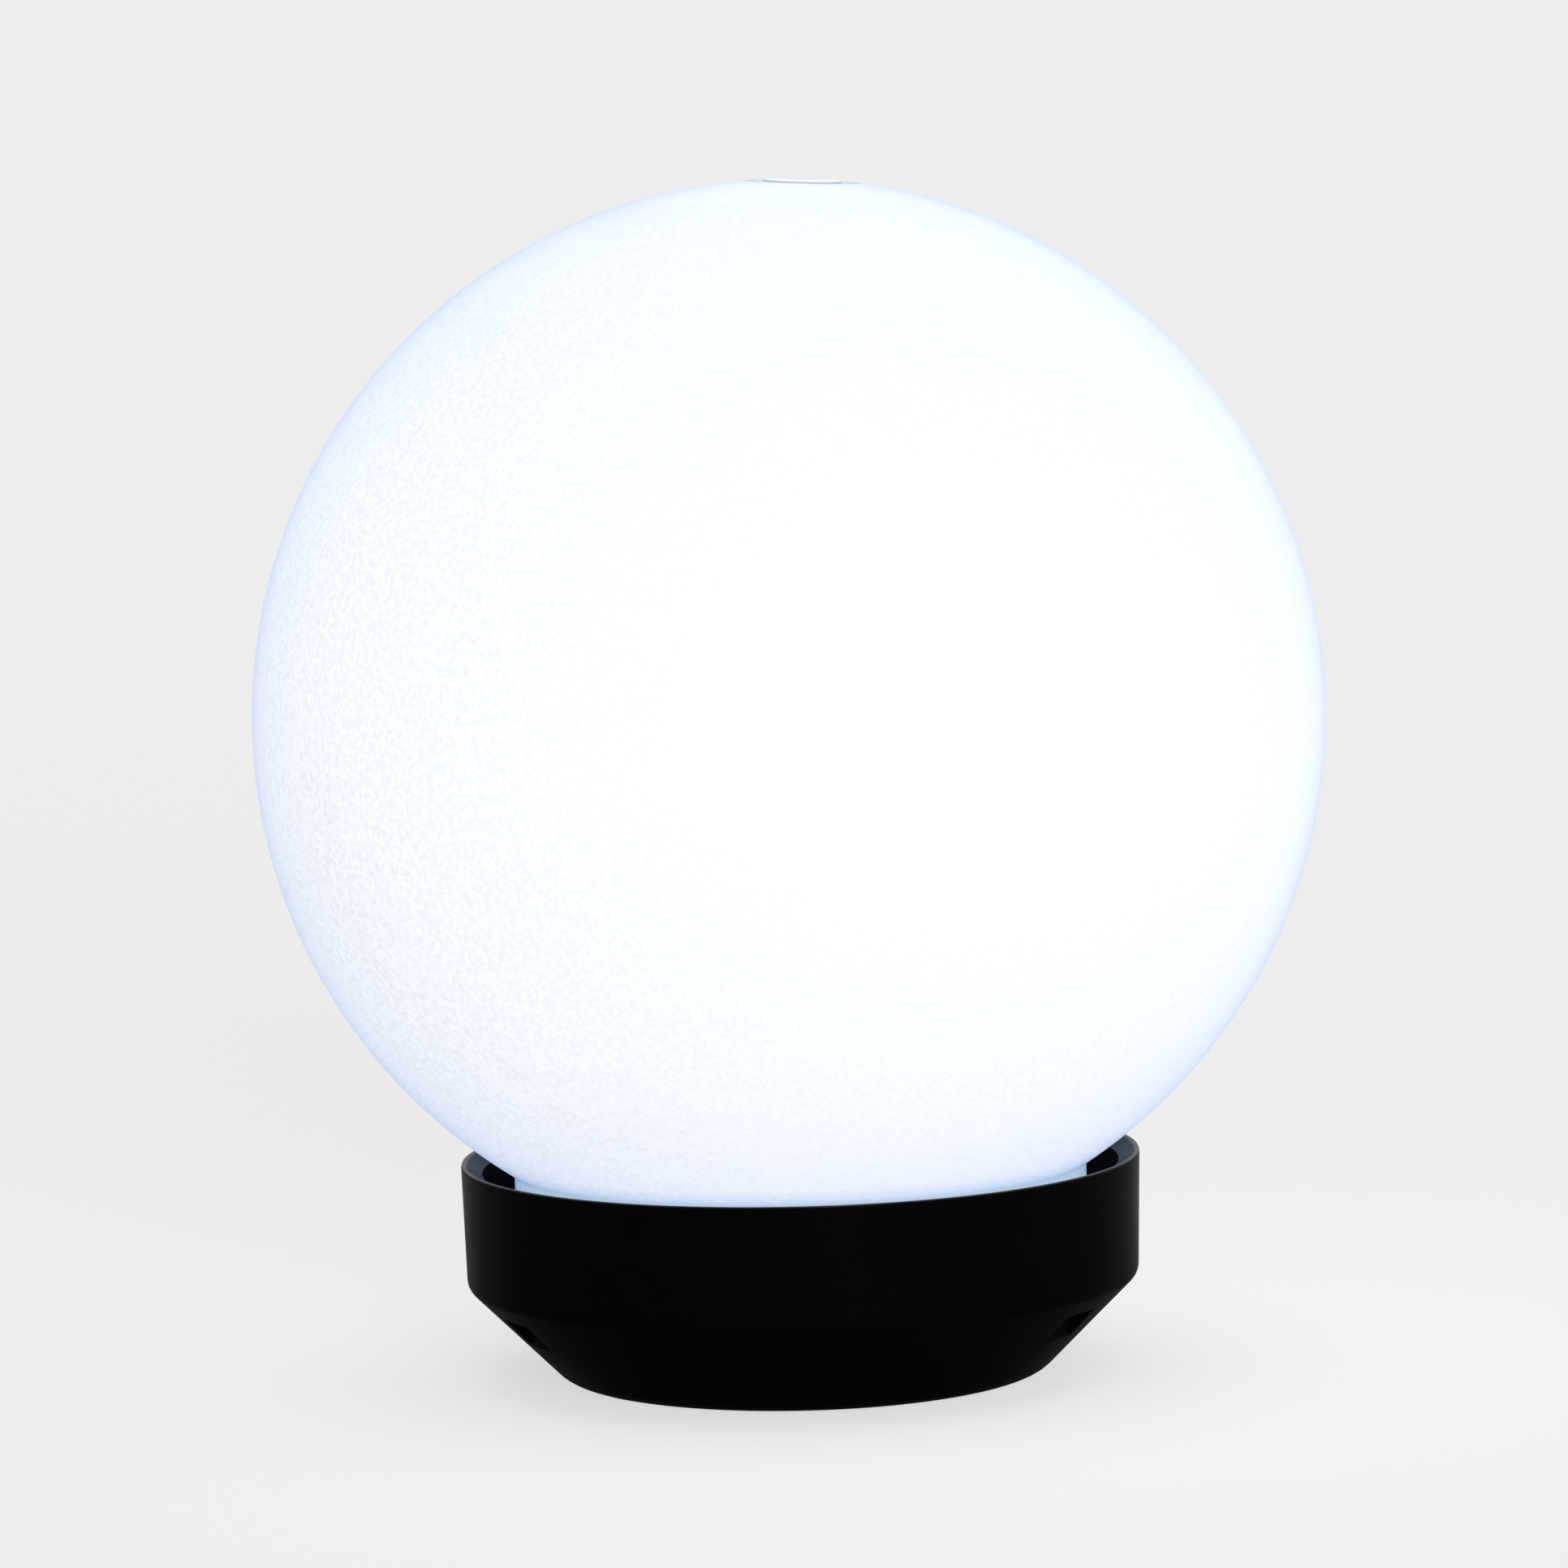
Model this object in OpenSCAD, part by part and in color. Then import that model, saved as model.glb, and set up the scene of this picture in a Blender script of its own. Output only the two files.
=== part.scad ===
// Globe light for a garden post or pillar: a frosted globe whose neck turns into a black base.
// Millimetres, +Z up. The origin is the centre of the base's flat underside, and the front is -Y.

/* [Globe] */
// Outside diameter of the globe
globe_d = 200; // [180:5:250]
// Thickness of the wall of the globe and its neck
globe_wall = 2.2; // [1.6:0.1:3.2]
// Outside diameter of the neck
neck_d = 107.2; // [104:0.2:114]
// Length of the neck, from its end to the crease under the globe
neck_h = 18.1; // [16:0.1:26]
// Diameter of the moulded flat on the crown
crown_d = 21; // [18:0.5:30]
// Diameter of the gate pad on that flat
pad_d = 14.4; // [8:0.2:17]
// Height of the gate pad above the flat
pad_h = 1.1; // [0.4:0.1:2]

/* [Bayonet] */
// Width of each lug on the neck
lug_w = 10; // [7:0.5:12]
// Height of each lug
lug_h = 3; // [2:0.5:4]
// How far each lug stands out from the neck
lug_out = 4.7; // [3:0.1:5.5]
// Height of the lugs above the end of the neck
lug_rise = 3; // [2:0.5:5]
// Angle of the two forward catches from the front
catch_angle = 62; // [56:0.5:68]
// Width of each catch
catch_w = 12; // [10.5:0.5:14]
// Width of the window below each catch
window_w = 10.4; // [7:0.2:10.4]
// Thickness of each catch
catch_h = 3.2; // [2:0.2:5]
// Thickness of the stop beside each catch
stop_w = 2.5; // [1.5:0.5:4]

/* [Base] */
// Height of the base
base_h = 41; // [40:0.5:52]
// Height of the fold where the cone meets the upright wall
fold_h = 18.2; // [16:0.1:22]
// How much the upright wall widens from the fold to the rim, on the radius
wall_lean = 0.7; // [0:0.1:1.5]
// Thickness of the upright wall at the fold
collar_wall = 3.3; // [2:0.1:4]
// Room around the neck, inside the collar
neck_gap = 6.1; // [5.9:0.1:9]
// Thickness of the rim
rim_t = 1; // [0.8:0.1:1.6]
// Depth of the bevel inside the rim
bevel_h = 1.9; // [1:0.1:4]
// Thickness of the floor and the cone
shell_t = 2.5; // [2.2:0.1:3]
// Rounding of the fold
fold_round = 3; // [1:0.5:6]
// Rounding where the cone meets the floor
foot_round = 7; // [4:1:12]

/* [Seals] */
// Thickness of the seal under the neck
seal_t = 3; // [2:0.5:5]
// Width of the ring wall that carries the seal
seat_w = 4.4; // [3.5:0.1:6]
// Height of the seat that carries the seal
seat_h = 18; // [16:0.5:22]
// Inner radius of the foam seal under the base
foam_in_r = 34; // [33:0.5:35]
// Width of the foam seal
foam_w = 3.4; // [2:0.1:3.6]
// Thickness of the foam seal
foam_t = 1.5; // [1:0.1:1.8]

/* [Fixing and cable entry] */
// Radius of the circle of fixing holes
fixing_r = 30; // [28:0.5:30]
// Diameter of each fixing hole
fixing_d = 5.4; // [4:0.1:5.6]
// Height of the bosses round the fixing holes, above the floor
boss_h = 2.5; // [1:0.5:4]
// Distance of the cable entry from the middle
entry_r = 22.6; // [21:0.1:23]
// Bore of the cable grommet
cable_d = 9; // [6:0.5:9]
// Diameter of the hole that holds the grommet
entry_d = 15; // [14.5:0.5:16]
// Diameter of the grommet's flanges
grommet_d = 20; // [18:0.5:20]
// Height of the grommet above the floor
grommet_h = 5.5; // [4:0.5:7]

/* [Lampholder] */
// Height of the bracket above the underside
bracket_z = 15; // [14.5:0.1:16]
// Width of the bracket
bracket_w = 20; // [16:1:24]
// Thickness of the bracket's steel
bracket_t = 1.5; // [1:0.1:2]
// Depth of the bracket's turned-down edges
lip_h = 3; // [0.5:0.5:4]
// Diameter of the threaded nipple
nipple_d = 10; // [10:0.1:11]
// Bore of the nipple
nipple_bore = 7.2; // [6.6:0.1:8]
// Outside diameter of the lampholder
holder_d = 40; // [38:0.5:42]
// Height of the lampholder's cap
holder_cap_h = 16.5; // [15:0.5:20]
// Height of the threaded sleeve
sleeve_h = 29; // [27:0.5:29.5]

/* [Lamp] */
// Diameter of the lamp's bulb
bulb_d = 60; // [56:1:66]
// Length of the lamp, tip to crown
bulb_l = 108; // [104:1:118]
// Crest diameter of the lamp cap's thread
cap_d = 26.4; // [25.6:0.1:26.6]
// Pitch of that thread
cap_pitch = 3.63; // [3:0.01:4.2]
// Turns of thread on the cap
cap_turns = 4; // [3:1:4]
// Depth of the thread
thread_depth = 0.9; // [0.5:0.1:1.1]

/* [Terminals and leads] */
// Width of the terminal block
block_w = 34; // [34:0.5:38]
// Depth of the terminal block
block_l = 18; // [16:0.5:20]
// Height of the terminal block
block_h = 12; // [11:0.5:13]
// Distance of the block's middle from the middle of the base
block_y = 23; // [22.5:0.5:24]
// Spacing of the terminals
pole_pitch = 11; // [10:0.5:11.5]
// Diameter of the insulated leads
lead_d = 2.2; // [1.6:0.1:2.6]

/* [Hidden] */
$fn = 96;
lead_sides = 8;
lead_steps = 4;
arc_steps = 8;
thread_steps = 8;
cut = 0.5;
play = 0.3;
snug = 0.05;
seat_gap = 0.1;
sink = 0.8;

globe_r = globe_d / 2;
neck_r = neck_d / 2;
collar_r = neck_r + neck_gap;
fold_r = collar_r + collar_wall;
rim_r = fold_r + wall_lean;
cone_foot_r = fold_r - fold_h;
cone_in_r = cone_foot_r - shell_t * sqrt(2);
floor_r = cone_in_r + shell_t;
seat_out_r = neck_r + play + seat_gap;
seat_in_r = seat_out_r - seat_w;
neck_z = seat_h + seal_t + seat_gap;
globe_z = neck_z + neck_h + sqrt(globe_r * globe_r - neck_r * neck_r);
flat_z = globe_z + sqrt(globe_r * globe_r - crown_d * crown_d / 4);
lug_z = neck_z + lug_rise;
catch_z = lug_z + lug_h + play;
catch_in_r = neck_r + 1.4;
catch_angles = [catch_angle - 90, 90, -90 - catch_angle];
window_inset = 0.2;

post_r = 5;
post_x = floor_r - post_r - 1.3;
screw_r = 2;
screw_head_r = 4;
screw_head_h = 2.4;
hole_r = 2.2;
small_screw_r = 1.4;
small_head_r = 2.6;
small_head_h = 1.8;
pilot_z = 6;
nipple_below = 4.5;
nipple_above = 1.2;
nut_h = 4;
nut_w = 14;
bracket_top = bracket_z + bracket_t;
earth_x = 22;
earth_tab_t = 0.8;
earth_nut_h = 3;

holder_r = holder_d / 2;
holder_wall = 2;
holder_cap_top = bracket_top + holder_cap_h;
holder_foot_t = 3;
insert_r = holder_r - holder_wall - 0.4;
insert_h = 10.9;
insert_z = holder_cap_top - 7.9;
insert_top = insert_z + insert_h;
sleeve_r = holder_r - 1.7;
sleeve_top = holder_cap_top + sleeve_h;
sleeve_bore_r = cap_d / 2 + 0.7;
pole_x = 9;
pocket_w = 6.4;
pocket_l = 8;
pocket_h = 7.6;
spring_w = 5;
spring_t = 0.5;
spring_h = 3.2;
spring_l = 9;
button_r = 3;
button_h = 0.8;
contact_w = 5;
contact_t = 0.6;
contact_h = 16;

tip_z = insert_top + spring_h + button_h + seat_gap + snug;
tip_r = 4.8;
tip_h = 1.5;
insulator_h = 3.9;
cap_r = cap_d / 2;
cap_wall = 0.5;
cap_z = tip_z + tip_h + insulator_h - 0.4;
cap_h = cap_turns * cap_pitch + 4.4;
cap_top = cap_z + cap_h;
housing_wall = 1.6;
housing_neck_r = cap_r - thread_depth - cap_wall - snug;
housing_neck_h = 8;
bulb_r = bulb_d / 2;
bulb_top = tip_z + bulb_l;
bulb_z = bulb_top - bulb_r;
bulb_wall = 1.2;
joint_z = bulb_z - 0.4 * bulb_r;
joint_r = sqrt(bulb_r * bulb_r - (bulb_z - joint_z) * (bulb_z - joint_z));
housing_top_r = joint_r + 1.8;
board_t = 1.6;
board_drop = 3.4;
board_r = joint_r - bulb_wall - 0.9;
board_z = joint_z - board_drop;
shelf_w = 3;
chip_w = 3.4;
chip_h = 0.7;
chip_count = 12;
driver_w = 2 * (housing_neck_r - housing_wall) - 0.4;
driver_z = cap_top - 3.5;
driver_h = board_z - driver_z - 5.5;
capacitor_r = 5;
capacitor_h = 16;
coil_w = 10;
coil_h = 11;

pad_rise = 2;
block_z = shell_t + pad_rise;
pole_rise = 5.5;
pole_z = block_z + pole_rise;
insert_tube_r = 3;
insert_tube_l = 12;
wire_bore_r = 1.9;
pole_screw_y = 3.5;
pole_screw_r = 1.6;
pole_head_r = 2.4;
pole_head_h = 1.6;
block_head_r = 1.9;
block_foot_h = 7;
block_y0 = block_y - block_l / 2;
grip_x = 20;
grip_y = -16;
grip_w = 8;
grip_foot = 6;
grip_t = 1.8;
grip_arch_r = cable_d / 2 + 0.1;
entry = [-entry_r * sin(45), -entry_r * cos(45)];
fixing_angles = [30, 150, 270];

live_route = [[-pole_pitch, block_y0 + 5, pole_z], [-pole_pitch, block_y0, pole_z], [-10.6, 11.5, 9.2],
    [-8.4, 7.5, 7], [-5.4, 4, 5.6], [-2.4, 1.2, 6], [-1.5, 0, 8.6], [-1.5, 0, 14], [-1.5, 0, 20.8],
    [-3.4, 0.7, 22.5], [-7.6, 2, 23.1], [-pole_x, 2, 25.6], [-pole_x, 2, insert_z + 3.6]];
neutral_route = [[0, block_y0 + 5, pole_z], [0, block_y0, pole_z], [0.3, 11.5, 9.2], [0.9, 7.5, 7],
    [1.5, 4, 5.8], [1.7, 1.2, 6.4], [1.5, 0, 8.8], [1.5, 0, 14], [1.5, 0, 20.8], [3.4, 0.7, 22.5],
    [7.6, 2, 23.1], [pole_x, 2, 25.6], [pole_x, 2, insert_z + 3.6]];
earth_route = [[pole_pitch, block_y0 + 5, pole_z], [pole_pitch, block_y0, pole_z], [12.8, 12.4, 10.8],
    [16.4, 11.9, 13.6], [19.6, 12, 16.6], [21.5, 11.4, 18.2], [earth_x, 10, 18.3],
    [earth_x, 8, 18.3]];

// Points of an arc about a centre, from angle a to angle b
function arc(c, r, a, b) =
    [for (i = [0 : arc_steps]) let (t = a + (b - a) * i / arc_steps) c + r * [cos(t), sin(t)]];

// A point between p1 and p2 on the smooth curve through four points
function between(p0, p1, p2, p3, t) =
    0.5 * (2 * p1 + (p2 - p0) * t + (2 * p0 - 5 * p1 + 4 * p2 - p3) * t * t
    + (3 * p1 - p0 - 3 * p2 + p3) * t * t * t);

// The smooth curve through a route's points
function smooth(route) = let (n = len(route) - 1) concat([for (i = [0 : n - 1], k = [0 : lead_steps - 1])
    between(route[max(i - 1, 0)], route[i], route[i + 1], route[min(i + 2, n)], k / lead_steps)],
    [route[n]]);

// Unit vector along v
function unit(v) = v / norm(v);

// One ring of a lead, square to the direction d, kept level with the side vector s
function lead_ring(p, d, s) = let (u = unit(cross(d, s)), w = cross(u, d))
    [for (k = [0 : lead_sides - 1]) p + lead_d / 2 * (cos(360 * k / lead_sides) * w
    + sin(360 * k / lead_sides) * u)];

// A tube along a route, with closed ends
module lead(route, side) {
    path = smooth(route);
    n = len(path) - 1;
    rings = [for (i = [0 : n]) lead_ring(path[i], unit(path[min(i + 1, n)] - path[max(i - 1, 0)]), side)];
    points = [for (ring = rings) each ring];
    sides = [for (i = [0 : n - 1], k = [0 : lead_sides - 1]) let (a = i * lead_sides + k,
        b = i * lead_sides + (k + 1) % lead_sides) each [[a, b + lead_sides, b],
        [a, a + lead_sides, b + lead_sides]]];
    start = [for (k = [1 : lead_sides - 2]) [0, k, k + 1]];
    last = n * lead_sides;
    end = [for (k = [1 : lead_sides - 2]) [last, last + k + 1, last + k]];
    polyhedron(points, concat(sides, start, end));
}

// A round tube standing on z
module tube(r, bore, h) {
    difference() {
        cylinder(r = r, h = h);
        translate([0, 0, -cut]) cylinder(r = bore, h = h + 2 * cut);
    }
}

// A pan-head screw hanging down from its seat at z = 0, with a crossed recess in its head
module pan_screw(r, head_r, head_h, l) {
    slot = head_r / 3.2;
    difference() {
        union() {
            translate([0, 0, -l]) cylinder(r = r, h = l + cut);
            cylinder(r = head_r, h = head_h * 0.6);
            translate([0, 0, head_h * 0.6]) cylinder(r1 = head_r, r2 = head_r * 0.6, h = head_h * 0.4);
        }
        for (a = [0, 90]) rotate([0, 0, a])
            translate([-head_r * 0.6, -slot / 2, head_h * 0.45]) cube([head_r * 1.2, slot, head_h]);
    }
}

// Outline of the base's section, ring wall included
function base_section() = concat(
    [[0, 0]],
    arc([cone_foot_r - foot_round * tan(22.5), foot_round], foot_round, -90, -45),
    fold_arc(),
    [[rim_r - 0.1, base_h - rim_t / 2], [rim_r - rim_t / 4, base_h], [rim_r - rim_t * 0.9, base_h],
    [rim_r - rim_t * 1.2, base_h - rim_t / 4], [collar_r, base_h - bevel_h],
    [collar_r, collar_r - cone_in_r], [seat_out_r, seat_out_r - cone_in_r], [seat_out_r, seat_h],
    [seat_in_r, seat_h], [seat_in_r, seat_in_r - cone_in_r], [floor_r, shell_t], [0, shell_t]]);

// Rounding between the cone and the leaning wall
function fold_arc() = let (lean = atan(wall_lean / (base_h - fold_h)), half = (45 - lean) / 2,
    back = fold_round * tan(half), start = [fold_r - back * sin(45), fold_h - back * cos(45)],
    centre = start + fold_round * [-cos(45), sin(45)])
    arc(centre, fold_round, -45, -lean);

// What stands at one catch, pointing along +X: the catch and its stop
module catch() {
    intersection() {
        translate([catch_in_r, -catch_w / 2, catch_z]) cube([collar_r, catch_w, catch_h]);
        cylinder(r = collar_r + sink, h = base_h);
    }
    translate([0, -catch_w / 2, 0]) rotate([90, 0, 0]) linear_extrude(stop_w)
        polygon([[catch_in_r, catch_in_r - cone_in_r - sink], [collar_r + sink, collar_r - cone_in_r],
            [collar_r + sink, catch_z + catch_h], [catch_in_r, catch_z + catch_h]]);
}

// The window under one catch, pointing along +X
module window() {
    intersection() {
        translate([seat_out_r - cut, -window_w / 2, -cut]) cube([neck_gap + 2 * cut, window_w, fold_h + 2]);
        translate([0, 0, -cut]) tube(collar_r - window_inset, seat_out_r + window_inset, fold_h + 2);
    }
}

module base_housing() {
    color("#101113") difference() {
        union() {
            rotate_extrude() polygon(base_section());
            for (a = catch_angles) rotate([0, 0, a]) catch();
            for (side = [-1, 1]) translate([side * post_x, 0, cut]) cylinder(r = post_r, h = bracket_z - cut);
            for (a = fixing_angles) rotate([0, 0, a])
                translate([fixing_r, 0, cut]) cylinder(r = fixing_d / 2 + 2.4, h = shell_t + boss_h - cut);
            translate([-block_w / 2 + 4, block_y - 4, cut]) cube([block_w - 8, 8, block_z - cut]);
            for (side = [-1, 1]) translate([grip_foot_x(side) - grip_foot / 2, grip_y - grip_w / 2, cut])
                cube([grip_foot, grip_w, block_z - cut]);
        }
        for (a = catch_angles) rotate([0, 0, a]) window();
        for (side = [-1, 1]) translate([side * post_x, 0, pilot_z]) cylinder(r = screw_r + snug, h = base_h);
        for (a = fixing_angles) rotate([0, 0, a])
            translate([fixing_r, 0, -cut]) cylinder(r = fixing_d / 2, h = seat_h);
        translate([entry[0], entry[1], -cut]) cylinder(r = entry_d / 2, h = shell_t + 2 * cut);
        translate([entry[0], entry[1], -cut]) cylinder(r = grommet_d / 2 + play, h = shell_t / 2 + cut);
        translate([0, 0, -cut]) tube(foam_in_r + foam_w + seat_gap, foam_in_r - seat_gap, foam_t + cut);
        translate([0, block_y, shell_t / 2]) cylinder(r = small_screw_r + snug, h = base_h);
        for (side = [-1, 1]) translate([grip_foot_x(side), grip_y, shell_t / 2])
            cylinder(r = small_screw_r + snug, h = base_h);
    }
}

// Middle of one foot of the cord grip
function grip_foot_x(side) = grip_x + side * (grip_arch_r + grip_t + grip_foot / 2);

module base_gasket() {
    color("#2a2b2c") tube(foam_in_r + foam_w, foam_in_r, foam_t);
}

module neck_gasket() {
    color("#1b1c1e") translate([0, 0, seat_h]) {
        tube(seat_out_r - seat_gap, seat_in_r - 0.8, seal_t);
        translate([0, 0, -seal_t]) tube(seat_in_r - seat_gap, seat_in_r - 0.8, seal_t + cut);
    }
}

module cable_grommet() {
    flange_h = shell_t / 2 - seat_gap;
    color("#17181a") translate([entry[0], entry[1], 0]) difference() {
        union() {
            translate([0, 0, seat_gap / 2]) cylinder(r = grommet_d / 2, h = flange_h);
            cylinder(r = entry_d / 2 - seat_gap, h = shell_t + cut);
            translate([0, 0, shell_t + snug]) cylinder(r = grommet_d / 2, h = 1.4);
            translate([0, 0, shell_t + 1.4]) cylinder(r1 = entry_d / 2, r2 = cable_d / 2 + 1.2, h = grommet_h - 1.4);
        }
        translate([0, 0, -cut]) cylinder(r = cable_d / 2, h = shell_t + grommet_h + 2 * cut);
        translate([0, 0, -cut]) cylinder(r = grommet_d, h = cut + seat_gap / 2);
    }
}

module cord_grip() {
    top_r = grip_arch_r + grip_t;
    color("#e8e4da") translate([grip_x, grip_y + grip_w / 2, block_z]) rotate([90, 0, 0]) difference() {
        linear_extrude(grip_w) union() {
            circle(r = top_r);
            translate([-top_r - grip_foot, 0]) square([2 * (top_r + grip_foot), grip_t]);
        }
        translate([0, 0, -cut]) cylinder(r = grip_arch_r, h = grip_w + 2 * cut);
        translate([-2 * top_r, -2 * top_r, -cut]) cube([4 * top_r, 2 * top_r, grip_w + 2 * cut]);
        for (side = [-1, 1]) translate([side * (top_r + grip_foot / 2), -cut, grip_w / 2]) rotate([-90, 0, 0])
            cylinder(r = small_screw_r + 0.2, h = top_r);
    }
}

module cord_grip_screws() {
    color("silver") for (side = [-1, 1]) translate([grip_foot_x(side), grip_y, block_z + grip_t])
        pan_screw(small_screw_r, small_head_r, small_head_h, grip_t + block_z - shell_t / 2 - 0.4);
}

// Places what belongs to each of the block's three poles
module poles() {
    for (i = [-1 : 1]) translate([i * pole_pitch, block_y, pole_z]) children();
}

module terminal_block() {
    color("#f0ede4") difference() {
        union() {
            translate([-block_w / 2, block_y0, block_z]) cube([block_w, block_l, block_foot_h]);
            poles() translate([-4.3, -block_l / 2 + 1, 0]) cube([8.6, block_l - 2, block_h - pole_rise]);
        }
        poles() rotate([90, 0, 0]) translate([0, 0, -block_l]) cylinder(r = insert_tube_r + snug, h = 2 * block_l);
        poles() for (y = [-pole_screw_y, pole_screw_y]) translate([0, y, 0])
            cylinder(r = pole_head_r + 0.15, h = block_h);
        translate([-pole_pitch / 2, block_y, 0]) {
            cylinder(r = small_screw_r + 0.2, h = base_h);
            translate([0, 0, block_z + block_foot_h]) cylinder(r = block_head_r + 0.2, h = block_h);
        }
    }
}

module terminal_inserts() {
    color("#c8a24a") poles() difference() {
        rotate([90, 0, 0]) translate([0, 0, -insert_tube_l / 2]) tube(insert_tube_r, wire_bore_r, insert_tube_l);
        for (y = [-pole_screw_y, pole_screw_y]) translate([0, y, 0]) cylinder(r = pole_screw_r + snug, h = 5);
    }
}

module terminal_screws() {
    color("#b9bcc0") poles() for (y = [-pole_screw_y, pole_screw_y])
        translate([0, y, insert_tube_r + seat_gap])
            pan_screw(pole_screw_r, pole_head_r, pole_head_h, insert_tube_r - lead_d / 2 - 0.1);
}

module terminal_block_screw() {
    color("silver") translate([-pole_pitch / 2, block_y, block_z + block_foot_h])
        pan_screw(small_screw_r, block_head_r, small_head_h, block_foot_h);
}

module holder_bracket() {
    half = post_x + post_r;
    lip_l = 2 * (post_x - post_r - 2);
    color("#b4b8bc") difference() {
        union() {
            translate([-half, -bracket_w / 2, bracket_z + snug]) cube([2 * half, bracket_w, bracket_t - snug]);
            for (side = [-1, 1]) translate([-lip_l / 2, side * (bracket_w - bracket_t) / 2 - bracket_t / 2,
                bracket_z - lip_h]) cube([lip_l, bracket_t, lip_h + cut]);
        }
        for (x = [-post_x, post_x, earth_x]) translate([x, 0, 0]) cylinder(r = hole_r, h = base_h);
        cylinder(r = nipple_d / 2 + 0.15, h = base_h);
    }
}

module bracket_screws() {
    color("silver") for (side = [-1, 1]) translate([side * post_x, 0, bracket_top])
        pan_screw(screw_r, screw_head_r, screw_head_h, bracket_top - pilot_z - 1);
}

module holder_nipple() {
    color("#c9a550") translate([0, 0, bracket_z - nipple_below])
        tube(nipple_d / 2, nipple_bore / 2, nipple_below + bracket_t + holder_foot_t + nipple_above);
}

module nipple_nut() {
    color("#b9bcc0") translate([0, 0, bracket_z - nut_h]) difference() {
        cylinder(d = nut_w / cos(30), h = nut_h, $fn = 6);
        translate([0, 0, -cut]) cylinder(r = nipple_d / 2 + snug, h = nut_h + 2 * cut);
    }
}

module holder_cap() {
    shoulder = 7.5;
    wall_in = holder_r - holder_wall;
    color("#f3f1ea") translate([0, 0, bracket_top]) rotate_extrude() polygon(concat(
        [[nipple_d / 2 + snug, 0]],
        arc([holder_r - shoulder, shoulder], shoulder, -90, 0),
        [[holder_r, holder_cap_h], [wall_in, holder_cap_h],
        [wall_in, insert_z - bracket_top - seat_gap], [wall_in - 1.2, insert_z - bracket_top - seat_gap],
        [wall_in - 1.2, shoulder], [wall_in - shoulder + 1, holder_foot_t],
        [nipple_d / 2 + snug, holder_foot_t]]));
}

module holder_insert() {
    color("#efe9dc") translate([0, 0, insert_z]) difference() {
        cylinder(r = insert_r, h = insert_h);
        for (x = [-pole_x, pole_x]) translate([x - pocket_w / 2, -pocket_l / 2, -cut])
            cube([pocket_w, pocket_l, pocket_h + cut]);
    }
}

module holder_terminals() {
    color("#c8a24a") for (x = [-pole_x, pole_x]) translate([x, 0, insert_z]) difference() {
        translate([-pocket_w / 2 + seat_gap, -pocket_l / 2 + seat_gap, pocket_h - 7])
            cube([pocket_w - 2 * seat_gap, pocket_l - 2 * seat_gap, 7 - seat_gap]);
        translate([0, 2, -cut]) cylinder(r = lead_d / 2 + 0.15, h = pocket_h);
        translate([0, -2, -cut]) cylinder(r = small_screw_r + snug, h = pocket_h - 1);
    }
}

module holder_terminal_screws() {
    color("#b9bcc0") for (x = [-pole_x, pole_x]) translate([x, -2, insert_z + pocket_h - 7]) rotate([180, 0, 0])
        pan_screw(small_screw_r, 1.7, 1.2, 4.6);
}

module holder_sleeve() {
    bore = sleeve_bore_r;
    foot = insert_top + seat_gap;
    top = sleeve_top;
    turns = floor((top - foot - 6) / cap_pitch);
    color("#f3f1ea") difference() {
        rotate_extrude() polygon(concat(
            [[insert_r + 0.2, holder_cap_top + seat_gap], [holder_r, holder_cap_top + seat_gap],
            [holder_r, holder_cap_top + 5], [sleeve_r, holder_cap_top + 6.7], [sleeve_r, top - 0.8],
            [sleeve_r - 0.8, top], [bore + 0.8, top], [bore, top - 0.8]],
            [for (i = [0 : turns * thread_steps]) [bore - thread_depth * 0.25 * (1 - cos(360 * i / thread_steps)),
                top - 3 - i * cap_pitch / thread_steps]],
            [[bore, foot], [insert_r + 0.2, foot]]));
        translate([sleeve_bore_r - 1, -contact_w / 2 - 0.3, foot - cut])
            cube([1.9, contact_w + 0.6, contact_h + 1]);
    }
}

module side_contact() {
    x = cap_r + 0.4;
    color("#d0a94e") translate([0, -contact_w / 2, insert_top]) union() {
        translate([x, 0, 0]) cube([contact_t, contact_w, contact_h]);
        translate([x - 4, 0, 0]) cube([4 + contact_t, contact_w, seat_gap * 0.9]);
    }
}

module contact_spring() {
    rise = spring_h + seat_gap;
    color("#d0a94e") translate([0, spring_w / 2, insert_top]) rotate([90, 0, 0]) linear_extrude(spring_w)
        polygon([[-spring_l, 0], [-spring_l / 2, 0], [-button_r, rise - spring_t], [button_r, rise - spring_t],
            [button_r, rise], [-button_r - 0.3, rise], [-spring_l / 2 - 0.2, spring_t],
            [-spring_l, spring_t]]);
}

module contact_button() {
    color("#d9b65c") translate([0, 0, insert_top + spring_h + seat_gap]) {
        cylinder(r = button_r - 0.2, h = button_h * 0.6);
        translate([0, 0, button_h * 0.6]) cylinder(r1 = button_r - 0.2, r2 = button_r - 1, h = button_h * 0.4);
    }
}

module lead_live() {
    color("#6b3a1e") lead(live_route, [0.3, 0.2, -1]);
}

module lead_neutral() {
    color("#1f4fa8") lead(neutral_route, [-1, 0.2, 0.1]);
}

module lead_earth() {
    color("#3f9a3c") lead(earth_route, [0, 0.3, -1]);
}

module earth_tab() {
    color("#cfd2d4") translate([earth_x, 0, bracket_top]) {
        difference() {
            union() {
                cylinder(r = screw_head_r, h = earth_tab_t);
                translate([-1.6, 0, 0]) cube([3.2, 7.5, earth_tab_t]);
            }
            translate([0, 0, -cut]) cylinder(r = hole_r, h = 3);
        }
        translate([0, 5.6, 18.3 - bracket_top]) rotate([-90, 0, 0]) tube(lead_d / 2 + 0.6, lead_d / 2 + 0.1, 3.6);
    }
}

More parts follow.
